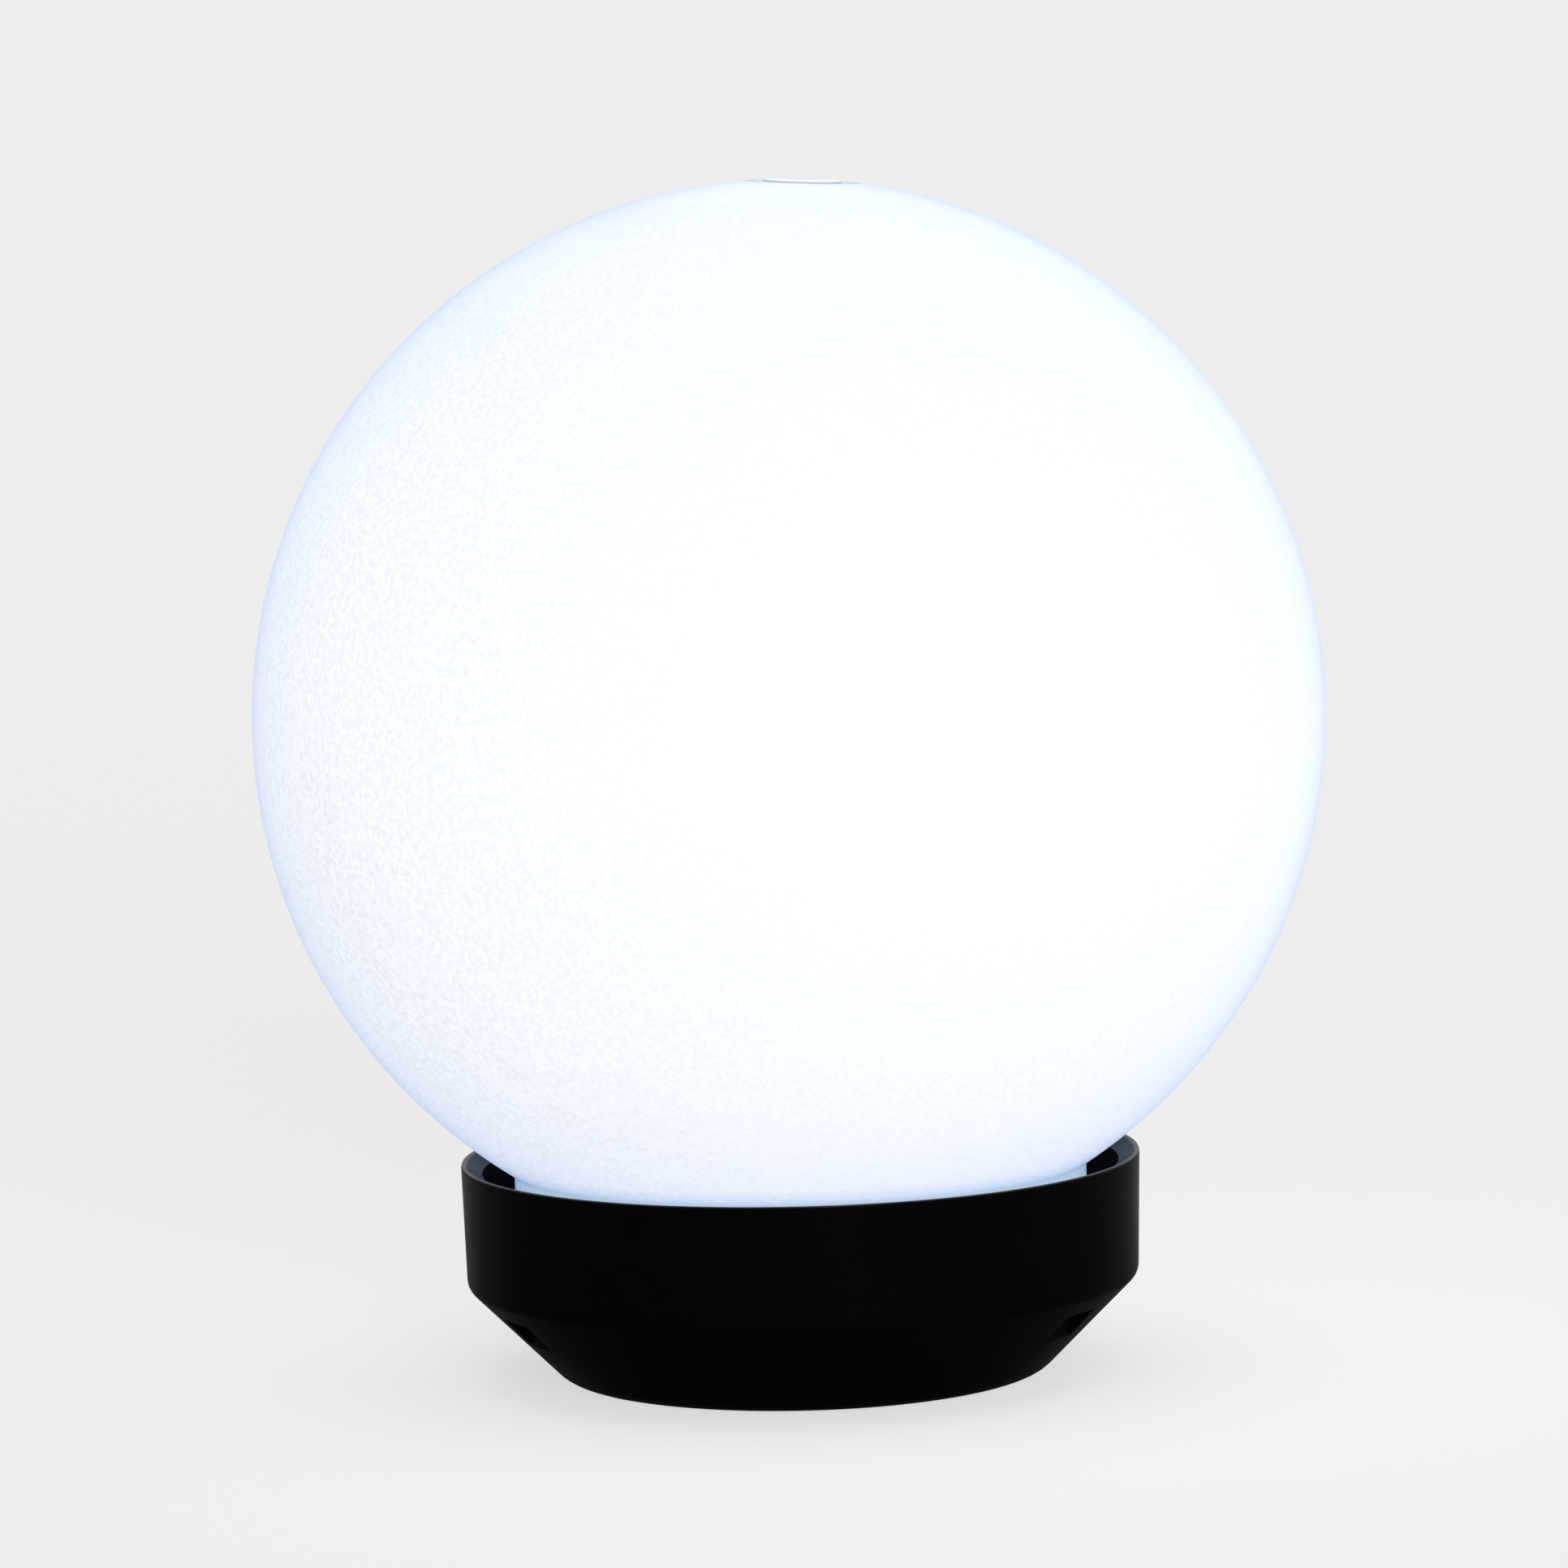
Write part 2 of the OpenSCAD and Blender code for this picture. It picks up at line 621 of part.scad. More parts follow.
module earth_screw() {
    color("silver") translate([earth_x, 0, bracket_top + earth_tab_t])
        pan_screw(screw_r, screw_head_r - 0.4, screw_head_h, earth_tab_t + bracket_t + earth_nut_h + 1);
}

module earth_nut() {
    color("#b9bcc0") translate([earth_x, 0, bracket_z - earth_nut_h]) difference() {
        cylinder(d = 7 / cos(30), h = earth_nut_h, $fn = 6);
        translate([0, 0, -cut]) cylinder(r = screw_r + snug, h = earth_nut_h + 2 * cut);
    }
}

module globe_shell() {
    color("#f2f7ff") difference() {
        union() {
            intersection() {
                translate([0, 0, globe_z]) sphere(r = globe_r);
                translate([0, 0, neck_z + neck_h]) cylinder(r = globe_d, h = flat_z - neck_z - neck_h);
            }
            translate([0, 0, neck_z]) cylinder(r = neck_r, h = neck_h + cut);
            translate([0, 0, flat_z - cut]) cylinder(r = pad_d / 2, h = pad_h + cut - 0.3);
            translate([0, 0, flat_z + pad_h - 0.3]) cylinder(r1 = pad_d / 2, r2 = pad_d / 2 - 0.5, h = 0.3);
            for (a = catch_angles) rotate([0, 0, a]) intersection() {
                translate([neck_r - sink, -lug_w / 2, lug_z]) cube([lug_out + 2 * sink, lug_w, lug_h]);
                cylinder(r = neck_r + lug_out, h = base_h);
            }
        }
        translate([0, 0, globe_z]) sphere(r = globe_r - globe_wall);
        translate([0, 0, neck_z - cut]) cylinder(r = neck_r - globe_wall, h = neck_h + 10);
    }
}

module bulb_envelope() {
    color("#f7f9ff") translate([0, 0, bulb_z]) difference() {
        sphere(r = bulb_r);
        sphere(r = bulb_r - bulb_wall);
        translate([0, 0, joint_z + seat_gap - bulb_z - bulb_d]) cylinder(r = bulb_d, h = bulb_d);
    }
}

module bulb_housing() {
    neck_in = housing_neck_r - housing_wall;
    board_in = board_r + 0.3;
    flare_z = cap_top + 3;
    color("#f4f4f2") rotate_extrude() polygon([
        [neck_in, cap_top - housing_neck_h], [housing_neck_r, cap_top - housing_neck_h],
        [housing_neck_r, cap_top + seat_gap], [cap_r + 0.6, cap_top + seat_gap], [cap_r + 1, cap_top + 1],
        [cap_r + 1.2, flare_z], [(cap_r + housing_top_r) / 2 + 1.4, (flare_z + joint_z) / 2 - 4],
        [housing_top_r - 0.6, joint_z - 7], [housing_top_r, joint_z - 3], [housing_top_r, joint_z - 0.5],
        [housing_top_r - 0.5, joint_z], [board_in, joint_z], [board_in, board_z],
        [board_in - shelf_w, board_z], [board_in - shelf_w, board_z - 2],
        [housing_top_r - 3.4, board_z - 4], [(cap_r + housing_top_r) / 2 - 1, (flare_z + joint_z) / 2 - 5],
        [neck_in + 0.6, flare_z], [neck_in, cap_top]]);
}

module bulb_cap() {
    low = cap_r - thread_depth;
    threads = [for (i = [0 : cap_turns * thread_steps])
        [low + thread_depth * 0.5 * (1 - cos(360 * i / thread_steps)), cap_z + 1.2 + i * cap_pitch / thread_steps]];
    count = len(threads) - 1;
    color("#c4c7ca") rotate_extrude() polygon(concat(
        [[low - cap_wall, cap_z], [low, cap_z]], threads, [[low, cap_top], [low - cap_wall, cap_top]],
        [for (i = [count : -1 : 0]) threads[i] - [cap_wall, 0]]));
}

module bulb_insulator() {
    low = cap_r - thread_depth - cap_wall - snug;
    color("#0c0c0d") rotate_extrude() polygon([[0, tip_z + tip_h], [tip_r - 0.2, tip_z + tip_h],
        [low - 0.4, cap_z - 0.3], [low, cap_z + 0.2], [low, cap_z + 1], [0, cap_z + 1]]);
}

module bulb_tip() {
    color("#c9cbcd") rotate_extrude() polygon([[0, tip_z], [2.4, tip_z], [tip_r - 0.6, tip_z + 0.6],
        [tip_r, tip_z + tip_h], [0, tip_z + tip_h]]);
}

module led_board() {
    color("#e9ebec") translate([0, 0, board_z + snug]) tube(board_r, 2.5, board_t - snug);
}

module led_chips() {
    color("#f3d24a") for (i = [0 : chip_count - 1]) rotate([0, 0, 360 * i / chip_count])
        translate([board_r * 0.68 - chip_w / 2, -chip_w / 2, board_z + board_t]) cube([chip_w, chip_w, chip_h]);
}

module driver_board() {
    color("#1f6b3a") translate([-driver_w / 2, -board_t / 2, driver_z]) cube([driver_w, board_t, driver_h]);
}

module driver_parts() {
    y = board_t / 2 + seat_gap;
    color("#2b2f38") {
        translate([0, y + capacitor_r, driver_z + 11]) cylinder(r = capacitor_r, h = capacitor_h);
        translate([-coil_w / 2, -y - coil_w * 0.8, driver_z + 14]) cube([coil_w, coil_w * 0.8, coil_h]);
    }
}

base_housing();
base_gasket();
neck_gasket();
cable_grommet();
cord_grip();
cord_grip_screws();
terminal_block();
terminal_inserts();
terminal_screws();
terminal_block_screw();
holder_bracket();
bracket_screws();
holder_nipple();
nipple_nut();
holder_cap();
holder_insert();
holder_terminals();
holder_terminal_screws();
holder_sleeve();
side_contact();
contact_spring();
contact_button();
lead_live();
lead_neutral();
lead_earth();
earth_tab();
earth_screw();
earth_nut();
globe_shell();
bulb_envelope();
bulb_housing();
bulb_cap();
bulb_insulator();
bulb_tip();
led_board();
led_chips();
driver_board();
driver_parts();
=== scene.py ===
"""Looks of the outdoor post light: a lit opal globe in a black moulded base, with its lamp and wiring.

Sizes in the classes are millimetres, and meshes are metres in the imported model's own frame. The globe,
the lamp's bulb and the leads are new meshes; every other piece keeps its CAD shape and gets a finish.
"""

from __future__ import annotations

import logging
import math
from dataclasses import dataclass
from enum import Enum
from typing import Sequence, Union

import bpy
import numpy as np
from mathutils import Matrix, Vector

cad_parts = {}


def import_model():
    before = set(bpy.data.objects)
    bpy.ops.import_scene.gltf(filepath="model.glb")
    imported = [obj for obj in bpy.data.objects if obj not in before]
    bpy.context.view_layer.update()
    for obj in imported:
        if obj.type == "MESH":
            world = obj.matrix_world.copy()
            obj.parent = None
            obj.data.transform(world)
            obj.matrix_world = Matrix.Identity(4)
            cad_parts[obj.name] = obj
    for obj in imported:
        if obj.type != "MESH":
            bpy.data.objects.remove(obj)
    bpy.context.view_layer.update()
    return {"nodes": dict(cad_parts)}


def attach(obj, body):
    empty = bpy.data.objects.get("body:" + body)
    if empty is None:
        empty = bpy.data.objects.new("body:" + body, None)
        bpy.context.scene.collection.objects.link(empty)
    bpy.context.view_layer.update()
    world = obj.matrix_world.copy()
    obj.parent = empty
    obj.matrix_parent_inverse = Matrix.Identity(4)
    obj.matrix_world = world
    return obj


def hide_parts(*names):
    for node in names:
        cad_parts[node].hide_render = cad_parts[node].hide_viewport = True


MM = 0.001
FULL_TURN = 2 * math.pi
ON_AXIS = 1e-6  # a point of an outline nearer to the axis than this is a pole
CLOUD_SPAN = (0.35, 0.65)  # where nearly all of a soft noise lies
GRAIN_SPAN = (0.3, 0.7)  # the same for a fine one

Colour = tuple[float, float, float]
Route = tuple[tuple[float, float, float], ...]
Socket = bpy.types.NodeSocket
Value = Union[float, Socket]
Inputs = dict[Union[int, str], object]
log = logging.getLogger("post_light")


class LampState(Enum):
    """Whether the lamp is on; the value is the share of its glow that shows."""

    LIT = 1.0
    DARK = 0.0


# Shapes


def fillet(corners: Sequence[tuple[float, float, float]], steps: int = 6) -> np.ndarray:
    """Rounds the corners of an outline.

    At a corner with rounding q, where the legs leave along the unit vectors u and v at an angle w, the
    arc has its centre at corner + (u + v) / |u + v| * q / sin(w / 2) and turns from one leg to the other.

    Args:
        corners: (r, z, rounding) of each corner, in order; the two ends stay sharp.
        steps: Points along each arc, less one.

    Returns:
        An array of (r, z) points.
    """
    points = np.array([corner[:2] for corner in corners], float)
    pieces = [points[:1]]
    for index, (_, _, rounding) in enumerate(corners[1:-1], start=1):
        here = points[index]
        if rounding <= 0:
            pieces.append(here[None])
            continue
        legs = points[[index - 1, index + 1]] - here
        legs /= np.linalg.norm(legs, axis=1)[:, None]
        half = np.arccos(np.clip(legs[0] @ legs[1], -1, 1)) / 2
        middle = legs.sum(0) / np.linalg.norm(legs.sum(0))
        centre = here + middle * rounding / np.sin(half)
        start, end = here + legs * rounding / np.tan(half) - centre
        turn = np.pi - 2 * half
        share = np.linspace(0, 1, steps + 1)[:, None]
        swept = np.sin((1 - share) * turn) * start + np.sin(share * turn) * end
        pieces.append(centre + swept / np.sin(turn))
    pieces.append(points[-1:])
    return np.vstack(pieces)


def arc(radius: float, centre_z: float, start: float, end: float, steps: int) -> np.ndarray:
    """Points (radius * cos a, centre_z + radius * sin a) for a from start to end.

    Args:
        radius: The circle's radius.
        centre_z: The height of its centre, which is on the axis.
        start: The first angle above the horizontal, in radians.
        end: The last angle.
        steps: The number of points.

    Returns:
        An array of (r, z) points.
    """
    angle = np.linspace(start, end, steps)
    return np.column_stack([radius * np.cos(angle), centre_z + radius * np.sin(angle)])


def mesh_object(name: str, points: np.ndarray, faces: Sequence[Sequence[int]]) -> bpy.types.Object:
    """Makes a smooth-shaded object at the origin.

    Args:
        name: The piece's name.
        points: Vertex places in millimetres, one row each.
        faces: Vertex numbers of each face, counter-clockwise from outside.

    Returns:
        The new object, linked to the scene.
    """
    mesh = bpy.data.meshes.new(name)
    mesh.from_pydata((points * MM).tolist(), [], faces)
    mesh.polygons.foreach_set("use_smooth", np.ones(len(mesh.polygons), bool))
    mesh.update()
    piece = bpy.data.objects.new(name, mesh)
    bpy.context.scene.collection.objects.link(piece)
    return piece


def grid_faces(index: np.ndarray) -> list[list[int]]:
    """Faces between neighbouring rows of a grid whose columns close on themselves.

    Args:
        index: Vertex number of each row and column; a row that is one pole repeats its number.

    Returns:
        Quads, and triangles where a row is a pole.
    """
    turned = np.roll(index, -1, axis=1)
    quads = np.stack([index[:-1], turned[:-1], turned[1:], index[1:]], -1).reshape(-1, 4)
    pole_below = quads[:, 0] == quads[:, 1]
    pole_above = quads[:, 2] == quads[:, 3]
    plain = quads[~(pole_below | pole_above)]
    below = quads[pole_below & ~pole_above][:, [0, 2, 3]]
    above = quads[pole_above & ~pole_below][:, [0, 1, 2]]
    return plain.tolist() + below.tolist() + above.tolist()


def revolve(name: str, outline: np.ndarray, segments: int) -> bpy.types.Object:
    """Turns an outline about the vertical axis: (r cos t, r sin t, z) for t round the full turn.

    Args:
        name: The piece's name.
        outline: (r, z) points, going up the outside and down the inside.
        segments: Steps round the axis.

    Returns:
        The new object.
    """
    turn = np.arange(segments) * FULL_TURN / segments
    radius, height = outline[:, :1], outline[:, 1:]
    grid = np.stack([radius * np.cos(turn), radius * np.sin(turn), height + 0 * turn], -1)
    index = np.arange(grid.shape[0] * segments).reshape(-1, segments)
    on_axis = outline[:, 0] < ON_AXIS
    index[on_axis] = index[on_axis, :1]
    used, index = np.unique(index, return_inverse=True)
    return mesh_object(name, grid.reshape(-1, 3)[used], grid_faces(index.reshape(-1, segments)))


def smooth_path(route: Sequence[tuple[float, float, float]], steps: int = 10) -> np.ndarray:
    """Runs a curve through route points: each span is the cubic whose end slopes are half the chord
    between the neighbours of that end.

    Args:
        route: The points, in order.
        steps: Points in each span.

    Returns:
        An array of points along the curve.
    """
    points = np.array(route, float)
    ends = np.vstack([2 * points[0] - points[1], points, 2 * points[-1] - points[-2]])
    slope = (ends[2:] - ends[:-2]) / 2
    share = np.linspace(0, 1, steps, endpoint=False)[None, :, None]
    first, last = points[:-1, None], points[1:, None]
    leave, reach = slope[:-1, None], slope[1:, None]
    square, cube = share**2, share**3
    spans = ((2 * cube - 3 * square + 1) * first + (cube - 2 * square + share) * leave
             + (3 * square - 2 * cube) * last + (cube - square) * reach)
    return np.vstack([spans.reshape(-1, 3), points[-1:]])


def tube(name: str, path: np.ndarray, radius: float, sides: int, aside: Colour) -> bpy.types.Object:
    """Carries a circle along a path, square to it: path + radius * (cos t * side + sin t * top).

    Side is the direction aside made square to the path at each point, and top is square to both. The
    mesh gets a UV map with the length in metres and the share of the turn.

    Args:
        name: The piece's name.
        path: Points along the middle, in millimetres.
        radius: The circle's radius.
        sides: Points round the circle.
        aside: A direction that the path never runs along.

    Returns:
        The new object, with both ends closed.
    """
    run = np.gradient(path, axis=0)
    run /= np.linalg.norm(run, axis=1)[:, None]
    side = np.array(aside) - run * (run @ np.array(aside))[:, None]
    side /= np.linalg.norm(side, axis=1)[:, None]
    top = np.cross(run, side)
    turn = -np.arange(sides) * FULL_TURN / sides
    rings = path[:, None] + radius * (np.cos(turn)[None, :, None] * side[:, None]
                                      + np.sin(turn)[None, :, None] * top[:, None])
    count = len(path)
    points = np.vstack([path[:1], rings.reshape(-1, 3), path[-1:]])
    index = 1 + np.arange(count * sides).reshape(count, sides)
    index = np.vstack([np.zeros((1, sides), int), index, np.full((1, sides), count * sides + 1)])
    piece = mesh_object(name, points, grid_faces(index))
    length = np.concatenate([[0], np.cumsum(np.linalg.norm(np.diff(path, axis=0), axis=1))]) * MM
    along = np.concatenate([length[:1], np.repeat(length, sides), length[-1:]])
    around = np.concatenate([[0], np.tile(np.arange(sides) / sides, count), [0]])
    loops = np.zeros(len(piece.data.loops), int)
    piece.data.loops.foreach_get("vertex_index", loops)
    layer = piece.data.uv_layers.new(name="Length")
    layer.data.foreach_set("uv", np.column_stack([along[loops], around[loops]]).ravel())
    return piece


# Finishes


class Tree:
    """A node tree that is built by calls which return sockets."""

    def __init__(self, tree: bpy.types.NodeTree) -> None:
        """Empties the tree."""
        self.tree = tree
        self.tree.nodes.clear()

    def link(self, source: Socket, target: Socket) -> None:
        """Joins two sockets."""
        self.tree.links.new(source, target)

    def node(self, kind: str, values: Inputs, **settings: object) -> bpy.types.Node:
        """Adds a node.

        Args:
            kind: The node's type.
            values: A number, colour or socket for each input, by its place or name.
            **settings: The node's own settings.

        Returns:
            The new node.
        """
        made = self.tree.nodes.new(kind)
        for key, value in settings.items():
            setattr(made, key, value)
        for key, value in values.items():
            if isinstance(value, bpy.types.NodeSocket):
                self.link(value, made.inputs[key])
            else:
                made.inputs[key].default_value = value
        return made

    def maths(self, operation: str, first: Value, second: Value = 0.0) -> Socket:
        """The result of a Math node."""
        return self.node("ShaderNodeMath", {0: first, 1: second}, operation=operation).outputs[0]

    def spread(self, value: Socket, low: float, high: float, to_low: float, to_high: float) -> Socket:
        """The value moved smoothly from low..high to to_low..to_high, and held at both ends."""
        limits = {"Value": value, "From Min": low, "From Max": high, "To Min": to_low, "To Max": to_high}
        return self.node("ShaderNodeMapRange", limits, interpolation_type="SMOOTHSTEP").outputs["Result"]

    def blend(self, share: Value, first: object, second: object) -> Socket:
        """A colour between two others."""
        made = self.node("ShaderNodeMix", {0: share, 6: first, 7: second}, data_type="RGBA")
        return made.outputs[2]

    def seen(self, gloss: Value = 1.0) -> Socket:
        """How much of a glow a ray shows.

        Args:
            gloss: The share for a ray by way of a gloss.

        Returns:
            One for a ray from the camera or through a glass, the share by way of a gloss, else nought.
        """
        rays = self.node("ShaderNodeLightPath", {}).outputs
        shown = self.maths("MAXIMUM", rays["Is Camera Ray"], rays["Is Transmission Ray"])
        return self.maths("MAXIMUM", shown, self.maths("MULTIPLY", rays["Is Glossy Ray"], gloss))


class Graph(Tree):
    """The node tree of one material, round a Principled shader."""

    def __init__(self, name: str) -> None:
        """Starts a material with its shader and output.

        Args:
            name: The material's name.
        """
        self.material = bpy.data.materials.new(name)
        self.material.use_nodes = True
        super().__init__(self.material.node_tree)
        self.shader = self.node("ShaderNodeBsdfPrincipled", {})
        self.node("ShaderNodeOutputMaterial", {"Surface": self.shader.outputs["BSDF"]})
        self.place = self.node("ShaderNodeTexCoord", {}).outputs["Object"]

    def stretched(self, stretch: Colour) -> Socket:
        """Object coordinates scaled along each axis."""
        return self.node("ShaderNodeMapping", {"Vector": self.place, "Scale": stretch}).outputs[0]

    def split(self, vector: Union[Socket, None] = None) -> tuple[Socket, Socket, Socket]:
        """The x, y and z of a vector, or of the place in Object coordinates."""
        return tuple(self.node("ShaderNodeSeparateXYZ", {0: vector or self.place}).outputs)

    def turned(self) -> Socket:
        """Places as distance from the axis and height, for marks that run round the axis.

        Returns:
            A vector (sqrt(x * x + y * y), z, 0).
        """
        x, y, z = self.split()
        square = self.maths("ADD", self.maths("POWER", x, 2.0), self.maths("POWER", y, 2.0))
        return self.node("ShaderNodeCombineXYZ", {0: self.maths("SQRT", square), 1: z}).outputs[0]

    def noise(self, where: Socket, scale: float, detail: float = 3.0, rough: float = 0.55) -> Socket:
        """A cloudy value round 0.5; scale is in features a metre."""
        inputs = {"Vector": where, "Scale": scale, "Detail": detail, "Roughness": rough}
        return self.node("ShaderNodeTexNoise", inputs).outputs["Fac"]

    def cells(self, where: Socket, scale: float) -> Socket:
        """Distance from the middle of each of many small cells."""
        return self.node("ShaderNodeTexVoronoi", {"Vector": where, "Scale": scale}).outputs["Distance"]

    def bump(self, height: Socket, depth: float) -> None:
        """Raises the surface by height * depth metres."""
        made = self.node("ShaderNodeBump", {"Height": height, "Distance": depth})
        self.link(made.outputs[0], self.shader.inputs["Normal"])

    def put(self, **values: object) -> None:
        """Sets the shader's inputs.

        Args:
            **values: A number, colour or socket for each input, with underscores for the spaces in its
                name.
        """
        for key, value in values.items():
            socket = self.shader.inputs[key.replace("_", " ")]
            if isinstance(value, bpy.types.NodeSocket):
                self.link(value, socket)
            else:
                socket.default_value = value


def tone(colour: Colour, factor: float = 1.0) -> tuple[float, float, float, float]:
    """A colour made lighter or darker, as a node wants it."""
    return (*(min(channel * factor, 1.0) for channel in colour), 1.0)


@dataclass(frozen=True)
class Finish:
    """A surface with a fine grain, a slow drift of tone and an uneven gloss.

    Grain is in features a metre, depth is the height of the grain in metres, drift is the share by
    which the tone changes and patch the size of its clouds in features a metre. Grain_part is how much
    of the tone and the gloss follows the grain; the rest follows the clouds. Uneven is the share by
    which the gloss changes.
    """

    name: str
    tint: Colour
    roughness: float = 0.5
    metal: float = 0.0
    ior: float = 1.45
    grain: float = 1500.0
    depth: float = 0.00002
    drift: float = 0.06
    patch: float = 90.0
    grain_part: float = 0.4
    uneven: float = 0.1
    stretch: Colour = (1.0, 1.0, 1.0)
    coat: float = 0.0
    coat_ior: float = 1.5
    coat_tint: Colour = (1.0, 1.0, 1.0)
    coat_roughness: float = 0.15
    sheen: float = 0.0
    sheen_tint: Colour = (1.0, 1.0, 1.0)
    sheen_roughness: float = 0.3

    def where(self, graph: Graph) -> Socket:
        """The coordinates that the grain follows."""
        return graph.stretched(self.stretch)

    def dress(self, graph: Graph) -> None:
        """Adds the finish to a material.

        Args:
            graph: The material's node tree.
        """
        grain = graph.noise(self.where(graph), self.grain)
        cloud = graph.noise(graph.place, self.patch)
        mixed = graph.maths("ADD", graph.maths("MULTIPLY", grain, self.grain_part),
                            graph.maths("MULTIPLY", cloud, 1 - self.grain_part))
        share = graph.spread(mixed, *CLOUD_SPAN, 0.0, 1.0)
        smooth, rough = self.roughness * (1 - self.uneven), min(self.roughness * (1 + self.uneven), 1.0)
        darker, lighter = tone(self.tint, 1 - self.drift), tone(self.tint, 1 + self.drift)
        graph.put(
            Base_Color=graph.blend(share, darker, lighter),
            Roughness=graph.spread(mixed, *CLOUD_SPAN, smooth, rough),
            Metallic=self.metal, IOR=self.ior, Coat_Weight=self.coat, Coat_Roughness=self.coat_roughness,
            Coat_IOR=self.coat_ior, Coat_Tint=tone(self.coat_tint), Sheen_Weight=self.sheen,
            Sheen_Roughness=self.sheen_roughness, Sheen_Tint=tone(self.sheen_tint))
        graph.bump(grain, self.depth)

    def material(self) -> bpy.types.Material:
        """Makes the finish's material the first time it is asked for.

        Returns:
            The material, which every piece with the finish shares.
        """
        found = bpy.data.materials.get(self.name)
        if found is None:
            graph = Graph(self.name)
            self.dress(graph)
            found = graph.material
        return found


@dataclass(frozen=True)
class TurnedMetal(Finish):
    """Metal with the fine rings that a lathe or a die leaves round the vertical axis."""

    metal: float = 1.0
    roughness: float = 0.28
    grain: float = 2500.0

    def where(self, graph: Graph) -> Socket:
        """Coordinates that are the same all the way round the axis."""
        return graph.turned()


@dataclass(frozen=True)
class PlatedSteel(Finish):
    """Zinc-plated steel: faint crystals of tone over fine rolling lines.

    Crystal is in features a metre, and the tone runs from middle in a crystal's middle to rim at its
    edge, where the distance from its middle is reach.
    """

    metal: float = 1.0
    roughness: float = 0.36
    crystal: float = 420.0
    reach: float = 0.8
    middle: float = 1.08
    rim: float = 0.88

    def dress(self, graph: Graph) -> None:
        """Adds crystals to the plain finish.

        Args:
            graph: The material's node tree.
        """
        super().dress(graph)
        share = graph.spread(graph.cells(graph.place, self.crystal), 0.0, self.reach, 0.0, 1.0)
        graph.put(Base_Color=graph.blend(share, tone(self.tint, self.middle), tone(self.tint, self.rim)))


@dataclass(frozen=True)
class RimmedMoulding(Finish):
    """A dull moulding whose rim and the bevel inside it came off a polished part of the mould.

    The bevel is what lies above a height and within a radius, and the lip is what lies above a greater
    height, all in metres. Bevel_coat and lip_coat are the shares of the polish that they have, and
    bevel_blue_reflection is a blue painted into the bevel's colour, a painted reflection of the bluish
    glow of the globe right above it.
    """

    above: float = 1.0
    within: float = 0.0
    lip: float = 1.0
    bevel_blue_reflection: Colour = (0.004, 0.018, 0.04)
    bevel_coat: float = 0.06
    lip_coat: float = 0.28

    def dress(self, graph: Graph) -> None:
        """Polishes the lip and the bevel, and paints the bevel's blue reflection into its colour.

        Args:
            graph: The material's node tree.
        """
        super().dress(graph)
        plain = graph.shader.inputs["Base Color"].links[0].from_socket
        out, height, _ = graph.split(graph.turned())
        bevel = graph.maths("MULTIPLY", graph.maths("LESS_THAN", out, self.within),
                            graph.maths("GREATER_THAN", height, self.above))
        lip = graph.maths("GREATER_THAN", height, self.lip)
        # The bevel's blue colour is a painted reflection of the globe's bluish glow.
        graph.put(Base_Color=graph.blend(bevel, plain, tone(self.bevel_blue_reflection)),
                  Coat_Weight=graph.maths("MAXIMUM", graph.maths("MULTIPLY", bevel, self.bevel_coat),
                                          graph.maths("MULTIPLY", lip, self.lip_coat)))


@dataclass(frozen=True)
class ClosedFoam(Finish):
    """Closed-cell foam: shallow round cells with a dull skin.

    The tone runs from middle in a cell's middle to rim at its edge, where the distance from its middle
    is reach; the darker middles are painted shade in the hollows.
    """

    roughness: float = 0.9
    grain: float = 2200.0
    depth: float = 0.00012
    reach: float = 0.6
    middle: float = 0.55
    rim: float = 1.15

    def dress(self, graph: Graph) -> None:
        """Sinks the cells' middles and darkens them with painted shade.

        Args:
            graph: The material's node tree.
        """
        super().dress(graph)
        # Darker cell middles: painted shade in the hollows.
        share = graph.spread(graph.cells(graph.place, self.grain), 0.0, self.reach, 0.0, 1.0)
        graph.put(Base_Color=graph.blend(share, tone(self.tint, self.middle), tone(self.tint, self.rim)))
        graph.bump(share, self.depth)


